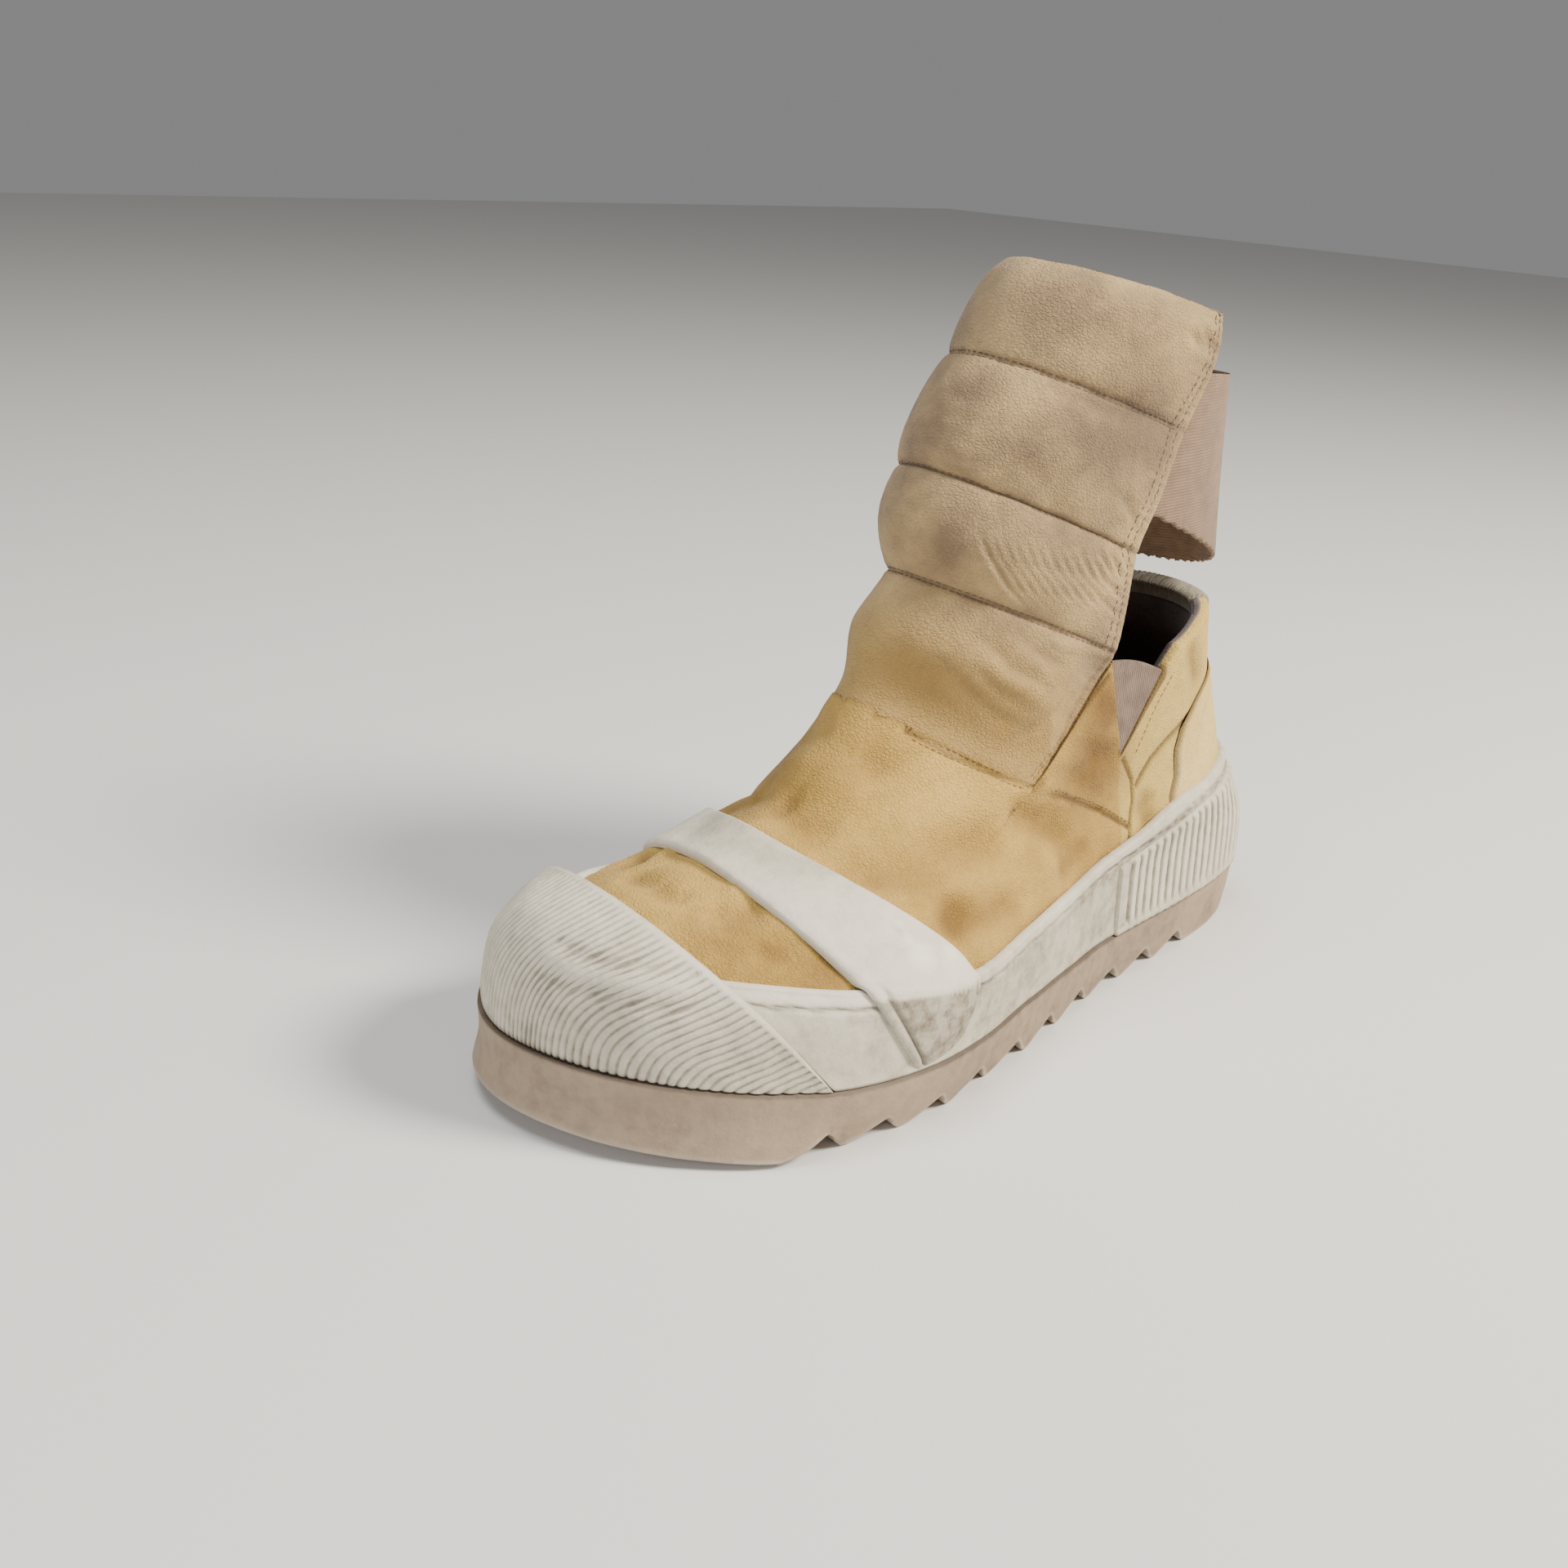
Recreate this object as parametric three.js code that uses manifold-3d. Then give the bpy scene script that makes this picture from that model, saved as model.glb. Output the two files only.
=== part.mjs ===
// Mid-top sneaker, left shoe, standing empty on its sole. Millimetres.
// +X points to the toe, +Y to the wearer's left (the outer side), +Z up.
import * as THREE from 'three';
import { mergeVertices } from 'three/addons/utils/BufferGeometryUtils.js';
import Module from 'manifold-3d';

const wasm = await Module();
wasm.setup();

// Driving sizes of the sole
const LENGTH = 316;            // outsole, heel to toe
const BALL_WIDTH = 125;        // outsole at the ball of the foot
const SOLE_THICKNESS = 20;     // outsole at the ball
const TOE_SPRING = 6.5;        // lift of the outsole's tip
const HEEL_BEVEL = 3;          // lift of the outsole's back edge
const BUMPER_FLARE = 1.8;      // how far the toe bumper stands out at its bottom
const UNDERCUT = 2;            // how far the side wall leans in down to the teeth
const BALL_UNDERCUT = 3;       // and how much more it does so at the ball
const TOOTH_PITCH = 22;
const TOOTH_DEPTH = 6.5;
const TOOTH_COUNT = 9;
const FIRST_TOOTH = 0.7785;    // place of the first tooth's tip, share of the length

// Driving sizes of the upper
const COLLAR_HEIGHT = 129;     // floor to the collar at the heel
const INSTEP_HEIGHT = 110;     // floor to the vamp's rear seam on the instep
const WALL = 2.2;              // leather with its lining
const COLLAR_PAD = 5.5;        // padded wall at the collar
const INSOLE = 4;              // thickness of the insole

// Driving sizes of the rubber parts
const FOXING = 3.6;            // rubber band round the upper
const STRAP = 2.6;             // rubber strap over the vamp
const RIB_PITCH = 3.6;         // ribs of the toe cap
const HEEL_RIB_PITCH = 5.5;
const RIB_DEPTH = 1.1;
const PATCH = 2.2;             // ribbed patch round the heel

// Driving sizes of the padded tongue and the ankle elastic
const TONGUE_HEIGHT = 241;     // floor to the middle of its top edge
const TONGUE_WIDTH = 73;
const TONGUE_BACKING = 3.4;    // inside of the seams
const TONGUE_PAD = 2.8;        // how far a channel stands out between two seams
const ELASTIC_THICKNESS = 1.8;
const GAP = 0.3;               // between pieces that touch

// Resolution of the faceted surfaces
const SIDE_STEPS = 26;         // steps from the heel to the toe on one side
const WALL_STEPS = 11;         // steps from the bottom edge to the opening

const BALL_HALF = BALL_WIDTH / 2;
const CLEAR = LENGTH / 6;      // how far a cutter reaches beyond the shoe
const UNDER = SOLE_THICKNESS * 0.4;  // how far a cutting body reaches below the last

// A smooth curve through the rows of a table that never overshoots them
function curve(rows, at, value) {
  const x = rows.map((row) => row[at]);
  const y = rows.map((row) => row[value]);
  const count = x.length;
  const slope = [];
  for (let i = 0; i < count - 1; i++) slope.push((y[i + 1] - y[i]) / (x[i + 1] - x[i]));
  const tangent = [slope[0]];
  for (let i = 1; i < count - 1; i++) {
    const product = slope[i - 1] * slope[i];
    tangent.push(product > 0 ? (2 * product) / (slope[i - 1] + slope[i]) : 0);
  }
  tangent.push(slope[count - 2]);
  return (where) => {
    const p = Math.min(Math.max(where, x[0]), x[count - 1]);
    let i = 0;
    while (i < count - 2 && p > x[i + 1]) i++;
    const step = x[i + 1] - x[i];
    const t = (p - x[i]) / step;
    const rise = y[i + 1] - y[i];
    const a = step * tangent[i] - rise;
    const b = -step * tangent[i + 1] + rise;
    return y[i] + t * rise + t * (1 - t) * (a * (1 - t) + b * t);
  };
}

const smooth = (t) => {
  const c = Math.min(Math.max(t, 0), 1);
  return c * c * (3 - 2 * c);
};

// Plan of the outsole: place along the length, centre line and half width
// as shares of half the ball width
const OUTLINE = [
  { at: 0.0, centre: 0.0, half: 0.0 },
  { at: 0.012, centre: 0.0, half: 0.28 },
  { at: 0.065, centre: -0.01, half: 0.455 },
  { at: 0.14, centre: -0.01, half: 0.55 },
  { at: 0.24, centre: 0.0, half: 0.61 },
  { at: 0.339, centre: 0.035, half: 0.65 },
  { at: 0.427, centre: 0.1, half: 0.7 },
  { at: 0.506, centre: 0.14, half: 0.77 },
  { at: 0.6, centre: 0.15, half: 0.9 },
  { at: 0.689, centre: 0.125, half: 0.985 },
  { at: 0.773, centre: 0.08, half: 1.0 },
  { at: 0.847, centre: 0.0, half: 0.94 },
  { at: 0.906, centre: -0.055, half: 0.79 },
  { at: 0.956, centre: -0.1, half: 0.56 },
  { at: 0.988, centre: -0.14, half: 0.29 },
  { at: 1.0, centre: -0.155, half: 0.0 },
].map((row) => ({ ...row, square: row.half * row.half }));
const outlineSquare = curve(OUTLINE, 'at', 'square');
const outlineCentre = curve(OUTLINE, 'at', 'centre');
const outlineHalf = (share) => BALL_HALF * Math.sqrt(Math.max(outlineSquare(share), 0));

// Steps go round a closed outline: heel, outer side, toe, inner side
const AROUND = 2 * SIDE_STEPS;
const sideOf = (j) => (j <= SIDE_STEPS ? 1 : -1);
const shareOf = (j) => {
  const k = j <= SIDE_STEPS ? j : AROUND - j;
  return (1 - Math.cos((Math.PI * k) / SIDE_STEPS)) / 2;
};

function outlinePoint(j) {
  const share = shareOf(j);
  const half = outlineHalf(share);
  return new THREE.Vector2(share * LENGTH, BALL_HALF * outlineCentre(share) + sideOf(j) * half);
}

// The outline moved inwards by a distance
function inset(distance) {
  const points = [];
  for (let j = 0; j < AROUND; j++) points.push(outlinePoint(j));
  return points.map((point, j) => {
    const before = points[(j + AROUND - 1) % AROUND];
    const after = points[(j + 1) % AROUND];
    const along = after.clone().sub(before).normalize();
    return point.clone().add(new THREE.Vector2(along.y, -along.x).multiplyScalar(distance));
  });
}

// Heights of the outsole along the length
const soleTop = (x) => SOLE_THICKNESS + TOE_SPRING * smooth((x / LENGTH - 0.66) / 0.4) * 1.05
  + 1.2 * smooth((0.25 - x / LENGTH) / 0.25);
const soleBottom = (x) => TOE_SPRING * Math.max(0, (x / LENGTH - 0.73) / 0.27) ** 1.4
  + HEEL_BEVEL * Math.max(0, (0.065 - x / LENGTH) / 0.065) ** 1.5;

// Rings of the lasted upper from its bottom edge to above its opening. Each ring
// runs from a point at the back to a point at the front. Places along X are shares
// of the length, heights at the back are shares of the collar height and at the
// front of the instep height, and widths are shares of half the ball width.
const RINGS = [
  { backX: 0.017, backZ: 0.325, frontX: 0.97, frontZ: 0.39, widths: null },
  { backX: 0.029, backZ: 0.43, frontX: 0.948, frontZ: 0.48,
    widths: [0.33, 0.495, 0.585, 0.63, 0.72, 0.765, 0.7, 0.49] },
  { backX: 0.04, backZ: 0.505, frontX: 0.91, frontZ: 0.54,
    widths: [0.33, 0.49, 0.58, 0.62, 0.68, 0.685, 0.58, 0.37] },
  { backX: 0.051, backZ: 0.58, frontX: 0.858, frontZ: 0.58,
    widths: [0.33, 0.485, 0.575, 0.61, 0.655, 0.615, 0.5, 0.3] },
  { backX: 0.065, backZ: 0.66, frontX: 0.793, frontZ: 0.62,
    widths: [0.33, 0.485, 0.575, 0.61, 0.65, 0.585, 0.45, 0.265] },
  { backX: 0.08, backZ: 0.735, frontX: 0.7255, frontZ: 0.7,
    widths: [0.33, 0.485, 0.575, 0.605, 0.655, 0.58, 0.44, 0.255] },
  { backX: 0.094, backZ: 0.82, frontX: 0.666, frontZ: 0.82,
    widths: [0.325, 0.49, 0.575, 0.59, 0.625, 0.55, 0.42, 0.25] },
  { backX: 0.107, backZ: 0.92, frontX: 0.615, frontZ: 0.98,
    widths: [0.325, 0.485, 0.575, 0.575, 0.58, 0.515, 0.395, 0.235] },
  { backX: 0.118, backZ: 1.03, frontX: 0.59, frontZ: 1.12,
    widths: [0.325, 0.49, 0.58, 0.57, 0.555, 0.5, 0.385, 0.225] },
];
const STATIONS = [0.04, 0.12, 0.25, 0.4, 0.55, 0.7, 0.82, 0.93];
const RIDGE = -0.075;          // the instep's ridge lies inwards of the middle
const TOE_RIDGE = -0.01;       // and nearly in the middle over the toes
const LAST_INSET = FOXING + 0.9;
const TOE_DRAW = 3.5;          // how much more the wall leans in round the toes

function keyRings() {
  const bottom = inset(LAST_INSET).map((p) => new THREE.Vector3(p.x, p.y, soleTop(p.x) + GAP));
  const rings = [bottom];
  RINGS.forEach((row, index) => {
    const back = row.backX * LENGTH;
    const front = row.frontX * LENGTH;
    const low = row.backZ * COLLAR_HEIGHT;
    const high = row.frontZ * INSTEP_HEIGHT;
    const ring = [];
    if (!row.widths) {
      const drawn = inset(LAST_INSET + 1 + TOE_DRAW);
      inset(LAST_INSET + 1).forEach((p, j) => {
        const q = p.clone().lerp(drawn[j], smooth((p.x / LENGTH - 0.6) / 0.2));
        const share = (q.x - back) / (front - back);
        ring.push(new THREE.Vector3(q.x, q.y, low + (high - low) * Math.min(Math.max(share, 0), 1)));
      });
      rings.push(ring);
      return;
    }
    const table = [{ at: 0, square: 0 }];
    row.widths.forEach((width, i) => table.push({ at: STATIONS[i], square: width * width }));
    table.push({ at: 1, square: 0 });
    const square = curve(table, 'at', 'square');
    const lean = smooth((index + 1) / 5);
    for (let j = 0; j < AROUND; j++) {
      const share = shareOf(j);
      const x = back + (front - back) * share;
      const half = BALL_HALF * Math.sqrt(Math.max(square(share), 0));
      const ridge = RIDGE + (TOE_RIDGE - RIDGE) * smooth((x / LENGTH - 0.56) / 0.2);
      const centre = BALL_HALF * (outlineCentre(x / LENGTH) * (1 - lean) + ridge * lean);
      ring.push(new THREE.Vector3(x, centre + sideOf(j) * half, low + (high - low) * share));
    }
    rings.push(ring);
  });
  return rings;
}

const KEYS = keyRings();

// A point of the lasted surface: level runs from 0 at the bottom edge to 1
function surfacePoint(level, j) {
  const place = level * (KEYS.length - 1);
  const i = Math.min(Math.floor(place), KEYS.length - 2);
  const t = place - i;
  const at = (k) => KEYS[Math.min(Math.max(k, 0), KEYS.length - 1)][(j + AROUND) % AROUND];
  const [a, b, c, d] = [at(i - 1), at(i), at(i + 1), at(i + 2)];
  const blend = (p, q, r, s) =>
    0.5 * (2 * q + (r - p) * t + (2 * p - 5 * q + 4 * r - s) * t * t + (3 * q - p - 3 * r + s) * t * t * t);
  return new THREE.Vector3(blend(a.x, b.x, c.x, d.x), blend(a.y, b.y, c.y, d.y), blend(a.z, b.z, c.z, d.z));
}

// The lasted surface as rings of points, moved outwards by a distance that may
// change from point to point
const LEVELS = [];
for (let i = 0; i <= WALL_STEPS; i++) LEVELS.push(i / WALL_STEPS);

const BASE = LEVELS.map((level) => {
  const ring = [];
  for (let j = 0; j < AROUND; j++) ring.push(surfacePoint(level, j));
  return ring;
});

const NORMALS = BASE.map((ring, i) => ring.map((point, j) => {
  const above = BASE[Math.min(i + 1, WALL_STEPS)][j];
  const below = BASE[Math.max(i - 1, 0)][j];
  const before = ring[(j + AROUND - 1) % AROUND];
  const after = ring[(j + 1) % AROUND];
  const up = above.clone().sub(below);
  const along = after.clone().sub(before);
  const normal = up.cross(along).normalize();
  if (i === 0) normal.setZ(0).normalize();
  return normal;
}));

const grown = (distance) => BASE.map((ring, i) => ring.map((point, j) => {
  const by = typeof distance === 'function' ? distance(point, i, j) : distance;
  return point.clone().addScaledVector(NORMALS[i][j], by);
}));

// Triangles to a mesh geometry
function geometryOf(triangles) {
  const array = new Float32Array(triangles.length * 9);
  triangles.forEach((triangle, i) => triangle.forEach((p, k) => p.toArray(array, i * 9 + k * 3)));
  const geometry = new THREE.BufferGeometry();
  geometry.setAttribute('position', new THREE.BufferAttribute(array, 3));
  return mergeVertices(geometry, 1e-4);
}

function quad(list, a, b, c, d) {
  list.push([a, b, c], [a, c, d]);
}

// Closed wall between an outer and an inner set of rings
function wallOfRings(outer, inner) {
  const list = [];
  const top = outer.length - 1;
  const count = outer[0].length;
  for (let j = 0; j < count; j++) {
    const k = (j + 1) % count;
    for (let i = 0; i < top; i++) {
      quad(list, outer[i][j], outer[i + 1][j], outer[i + 1][k], outer[i][k]);
      quad(list, inner[i][j], inner[i][k], inner[i + 1][k], inner[i + 1][j]);
    }
    quad(list, outer[top][j], inner[top][j], inner[top][k], outer[top][k]);
    quad(list, outer[0][j], outer[0][k], inner[0][k], inner[0][j]);
  }
  return geometryOf(list);
}

// Closed body of rings, each end closed by strips that run across the shoe
function bodyOfRings(rings) {
  const list = [];
  const top = rings.length - 1;
  for (let j = 0; j < AROUND; j++) {
    const k = (j + 1) % AROUND;
    for (let i = 0; i < top; i++) quad(list, rings[i][j], rings[i + 1][j], rings[i + 1][k], rings[i][k]);
  }
  for (let j = 0; j < SIDE_STEPS; j++) {
    const a = (AROUND - j) % AROUND;
    const b = AROUND - j - 1;
    const [low, high] = [rings[0], rings[top]];
    if (j === 0) {
      list.push([high[0], high[b], high[1]], [low[0], low[1], low[b]]);
    } else if (j === SIDE_STEPS - 1) {
      list.push([high[j], high[a], high[j + 1]], [low[j], low[j + 1], low[a]]);
    } else {
      quad(list, high[j], high[a], high[b], high[j + 1]);
      quad(list, low[j], low[j + 1], low[b], low[a]);
    }
  }
  return geometryOf(list);
}

// Closed sheet between an outer and an inner grid of rows
function sheet(outer, inner) {
  const list = [];
  const rows = outer.length - 1;
  const columns = outer[0].length - 1;
  for (let i = 0; i < rows; i++) {
    for (let j = 0; j < columns; j++) {
      quad(list, outer[i][j], outer[i + 1][j], outer[i + 1][j + 1], outer[i][j + 1]);
      quad(list, inner[i][j], inner[i][j + 1], inner[i + 1][j + 1], inner[i + 1][j]);
    }
    quad(list, outer[i][0], inner[i][0], inner[i + 1][0], outer[i + 1][0]);
    quad(list, outer[i][columns], outer[i + 1][columns], inner[i + 1][columns], inner[i][columns]);
  }
  for (let j = 0; j < columns; j++) {
    quad(list, outer[rows][j], inner[rows][j], inner[rows][j + 1], outer[rows][j + 1]);
    quad(list, outer[0][j], outer[0][j + 1], inner[0][j + 1], inner[0][j]);
  }
  return geometryOf(list);
}

function solid(geometry) {
  const clean = geometry.clone();
  clean.deleteAttribute('normal');
  clean.deleteAttribute('uv');
  const merged = mergeVertices(clean, 1e-4);
  const mesh = new wasm.Mesh({
    numProp: 3,
    vertProperties: new Float32Array(merged.attributes.position.array),
    triVerts: new Uint32Array(merged.index.array),
  });
  return new wasm.Manifold(mesh);
}

function geometryFrom(manifold) {
  const mesh = manifold.getMesh();
  const geometry = new THREE.BufferGeometry();
  geometry.setAttribute('position', new THREE.BufferAttribute(new Float32Array(mesh.vertProperties), 3));
  geometry.setIndex(new THREE.BufferAttribute(new Uint32Array(mesh.triVerts), 1));
  return geometry;
}

// A prism that runs across the shoe, from its outline in the side view
function across(points, from = -BALL_WIDTH, to = BALL_WIDTH) {
  const shape = new THREE.Shape(points.map(([x, z]) => new THREE.Vector2(x, z)));
  const geometry = new THREE.ExtrudeGeometry(shape, { depth: to - from, bevelEnabled: false });
  geometry.rotateX(Math.PI / 2);
  geometry.translate(0, to, 0);
  return solid(geometry);
}

// Outsole
function outsole() {
  const levels = [0, 0.25, 0.7, 1];
  const plan = inset(0);
  const outward = inset(-1);
  const rings = levels.map((level) => plan.map((p, j) => {
    const flare = BUMPER_FLARE * smooth((p.x / LENGTH - 0.78) / 0.05);
    const under = (UNDERCUT + BALL_UNDERCUT * smooth((p.x / LENGTH - 0.5) / 0.09))
      * (1 - smooth((p.x / LENGTH - 0.78) / 0.04));
    const direction = outward[j].clone().sub(p);
    const q = p.clone().addScaledVector(direction, (flare - under) * (1 - level) ** 1.4);
    const low = soleBottom(p.x);
    return new THREE.Vector3(q.x, q.y, low + (soleTop(p.x) - low) * level);
  }));
  const body = solid(bodyOfRings(rings));
  return geometryFrom(notches().reduce((left, notch) => left.subtract(notch), body));
}

// The gaps between the teeth, from the first tooth to the heel block
function notches() {
  const list = [];
  for (let k = 0; k <= TOOTH_COUNT; k++) {
    const tip = FIRST_TOOTH * LENGTH - k * TOOTH_PITCH;
    const front = tip + 0.27 * TOOTH_PITCH;
    const back = tip + 0.9 * TOOTH_PITCH;
    const base = soleBottom(tip);
    const deep = base + TOOTH_DEPTH;
    list.push(across([
      [tip, base - CLEAR],
      [tip, base],
      [tip + 0.12 * TOOTH_PITCH, base + 0.35 * TOOTH_DEPTH],
      [tip + 0.17 * TOOTH_PITCH, base + 0.7 * TOOTH_DEPTH],
      [front, deep],
      [tip + 0.5 * TOOTH_PITCH, base + 0.62 * TOOTH_DEPTH],
      [back, base],
      [back, base - CLEAR],
    ]));
  }
  return list;
}

// Insole, cut a little smaller than the inside of the upper
const INSOLE_EASE = 1.8;
function insole() {
  const plan = inset(LAST_INSET + WALL + GAP + INSOLE_EASE);
  const rings = [GAP, GAP + INSOLE].map((lift) =>
    plan.map((p) => new THREE.Vector3(p.x, p.y, soleTop(p.x) + lift)));
  return bodyOfRings(rings);
}

// Side view of the opening: the seam across the instep, the slanted edge of the
// gusset, the top of the elastic and the collar. Shares of length and height.
const SEAM_FRONT = { x: 0.617, z: 1.01 };
const GUSSET_LOW = { x: 0.462, z: 0.755 };
const GUSSET_TOP = { x: 0.345, z: 1.07 };
const place = (p) => [p.x * LENGTH, p.z * INSTEP_HEIGHT];

// The two ends of the collar, heights as shares of the collar height
const COLLAR_FRONT = { x: 0.275, z: 0.882558 };
const COLLAR_BACK = { x: 0.117, z: 0.989147 };
const collarPlace = (p) => [p.x * LENGTH, p.z * COLLAR_HEIGHT];

const COLLAR_STEPS = 6;
function collarLine() {
  const [x0, z0] = collarPlace(COLLAR_FRONT);
  const [x1, z1] = collarPlace(COLLAR_BACK);
  const points = [];
  for (let i = 0; i <= COLLAR_STEPS; i++) {
    const t = i / COLLAR_STEPS;
    points.push([x0 + (x1 - x0) * t, z0 + (z1 - z0) * (1 - (1 - t) ** 1.8)]);
  }
  return points;
}

function openingCutter(lift) {
  const [fx, fz] = place(SEAM_FRONT);
  const [gx, gz] = place(GUSSET_LOW);
  const high = TONGUE_HEIGHT + CLEAR;
  const front = [fx + 0.3 * (fx - gx), fz + 0.3 * (fz - gz)];
  const edge = [
    [-CLEAR, collarPlace(COLLAR_BACK)[1]], ...collarLine().reverse(), place(GUSSET_TOP), [gx, gz], front,
  ];
  return across([[front[0], high], [-CLEAR, high], ...edge.map(([x, z]) => [x, z + lift])].reverse());
}

// The elastic gore in each side, from the slanted gusset to the quarter
const GORE_TIP = { x: 0.318, z: 0.755 };
const gore = (gap) => {
  const [fx, fz] = place(GUSSET_TOP);
  const [rx, rz] = collarPlace(COLLAR_FRONT);
  const [tx, tz] = place(GORE_TIP);
  const reach = gap > 0 ? 1 : 1.3;
  const corner = (x, z, aside) => [tx + (x - tx) * reach + aside * 1.3 * gap, tz + (z - tz - gap) * reach];
  return [[tx, tz + 3 * gap], corner(fx - 1.5, fz, -1), corner(rx, rz, 1)];
};

// A closed body of the lasted surface grown by a distance, carried below its edge
function grownBody(distance, below = 0.75 * UNDER) {
  const rings = grown(distance);
  const foot = rings[0].map((p) => new THREE.Vector3(p.x, p.y, p.z - below));
  return solid(bodyOfRings([foot, ...rings]));
}

const padding = (point) => smooth((point.z / COLLAR_HEIGHT - 0.72) / 0.16)
  * smooth((0.36 - point.x / LENGTH) / 0.1);
const wallAt = (point) => WALL + (COLLAR_PAD - WALL) * padding(point);

// The upper: one lasted wall, padded towards the collar, notched for the gores
function upper() {
  const shell = solid(wallOfRings(grown(0), grown((point) => -wallAt(point))));
  return geometryFrom(shell.subtract(openingCutter(0)).subtract(across(gore(0))));
}

// One gore, a thin elastic sheet in its notch
function goreSheet(side) {
  const shell = solid(wallOfRings(grown(-0.5), grown(-0.5 - ELASTIC_THICKNESS)));
  const reach = side > 0 ? [0, BALL_WIDTH] : [-BALL_WIDTH, 0];
  return geometryFrom(shell.intersect(across(gore(GAP), ...reach)));
}

// Side view of the rubber parts: the band's top line, the toe cap's rear edge and
// the strap's two edges. Shares of length and instep height.
const FOXING_TOP = [
  { x: -0.05, z: 0.62 }, { x: 0.03, z: 0.605 }, { x: 0.14, z: 0.565 }, { x: 0.31, z: 0.475 },
  { x: 0.45, z: 0.415 }, { x: 0.6, z: 0.385 }, { x: 0.74, z: 0.42 }, { x: 0.84, z: 0.455 },
  { x: 0.92, z: 0.475 },
];
const CAP_FOOT_GAP = 1.6 * GAP;
const CAP_LOW_X = 0.798;
const CAP_LOW = { x: CAP_LOW_X, z: (soleTop(CAP_LOW_X * LENGTH) + CAP_FOOT_GAP) / INSTEP_HEIGHT };
const CAP_HIGH = { x: 0.908, z: 0.63 };
const STRAP_FRONT = [
  { x: 0.685, z: 0.1 }, { x: 0.757, z: 0.43 }, { x: 0.808, z: 0.64 }, { x: 0.836, z: 0.74 },
];
const STRAP_REAR = [
  { x: 0.613, z: 0.1 }, { x: 0.622, z: 0.38 }, { x: 0.748, z: 0.71 }, { x: 0.78, z: 0.8 },
];

const soleLine = (lift) => {
  const points = [];
  for (let i = 0; i <= 24; i++) {
    const x = LENGTH * (-0.03 + (1.06 * i) / 24);
    points.push([x, soleTop(x) + lift]);
  }
  return points;
};
const raised = (line, lift) => line.map((p) => [p.x * LENGTH, p.z * INSTEP_HEIGHT + lift]);

// Rubber foxing band: from one end of the toe cap round the heel to the other
function foxing() {
  const [lx, lz] = place(CAP_LOW);
  const [hx, hz] = place(CAP_HIGH);
  const back = GAP * 1.4;
  const capEdge = (z) => lx + ((hx - lx) * (z - lz)) / (hz - lz) - back;
  const top = raised(FOXING_TOP, 0);
  const low = soleLine(GAP).filter(([x, z]) => x < capEdge(z) - 2);
  const end = low[low.length - 1];
  const outline = [...low, [capEdge(end[1]), soleTop(capEdge(end[1])) + GAP]];
  const upperEnd = top[top.length - 2];
  outline.push([capEdge(upperEnd[1]), upperEnd[1]]);
  top.slice(0, -2).reverse().forEach((p) => outline.push(p));
  const band = grownBody(GAP + FOXING).subtract(grownBody(GAP, UNDER));
  return geometryFrom(band.intersect(across(outline)));
}

// Rubber strap over the vamp, with its side blocks over the foxing
const STRAP_BLOCK = 1.3;
function strap() {
  const outline = [...raised(STRAP_FRONT, 0), ...raised(STRAP_REAR, 0).reverse()];
  const cover = (lift) => [
    ...raised(FOXING_TOP, lift),
    [LENGTH + CLEAR, 0.4 * INSTEP_HEIGHT],
    [LENGTH + CLEAR, -CLEAR],
    [-CLEAR, -CLEAR],
  ].reverse();
  const outer = grownBody(GAP + STRAP).add(
    grownBody(2 * GAP + FOXING + STRAP_BLOCK).intersect(across(cover(STRAP_BLOCK))));
  const inner = grownBody(GAP, UNDER).add(grownBody(2 * GAP + FOXING, UNDER).intersect(across(cover(GAP))));
  const high = TONGUE_HEIGHT + CLEAR;
  const floor = across([...soleLine(GAP), [LENGTH + CLEAR, high], [-CLEAR, high]]);
  return geometryFrom(outer.subtract(inner).intersect(across(outline)).intersect(floor));
}

// A point of a set of rings between its steps
function between(rings, level, j) {
  const i = Math.min(Math.max(Math.floor(level), 0), rings.length - 2);
  const k = Math.floor(j);
  const count = rings[0].length;
  const at = (a, b) => rings[a][(b + count) % count];
  const low = at(i, k).clone().lerp(at(i, k + 1), j - k);
  const high = at(i + 1, k).clone().lerp(at(i + 1, k + 1), j - k);
  return low.lerp(high, level - i);
}

function levelAt(rings, z, j) {
  let low = 0;
  let high = rings.length - 1;
  for (let step = 0; step < 24; step++) {
    const half = (low + high) / 2;
    if (between(rings, half, j).z < z) low = half;
    else high = half;
  }
  return low;
}

const foxingTop = curve(FOXING_TOP, 'x', 'z');

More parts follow.
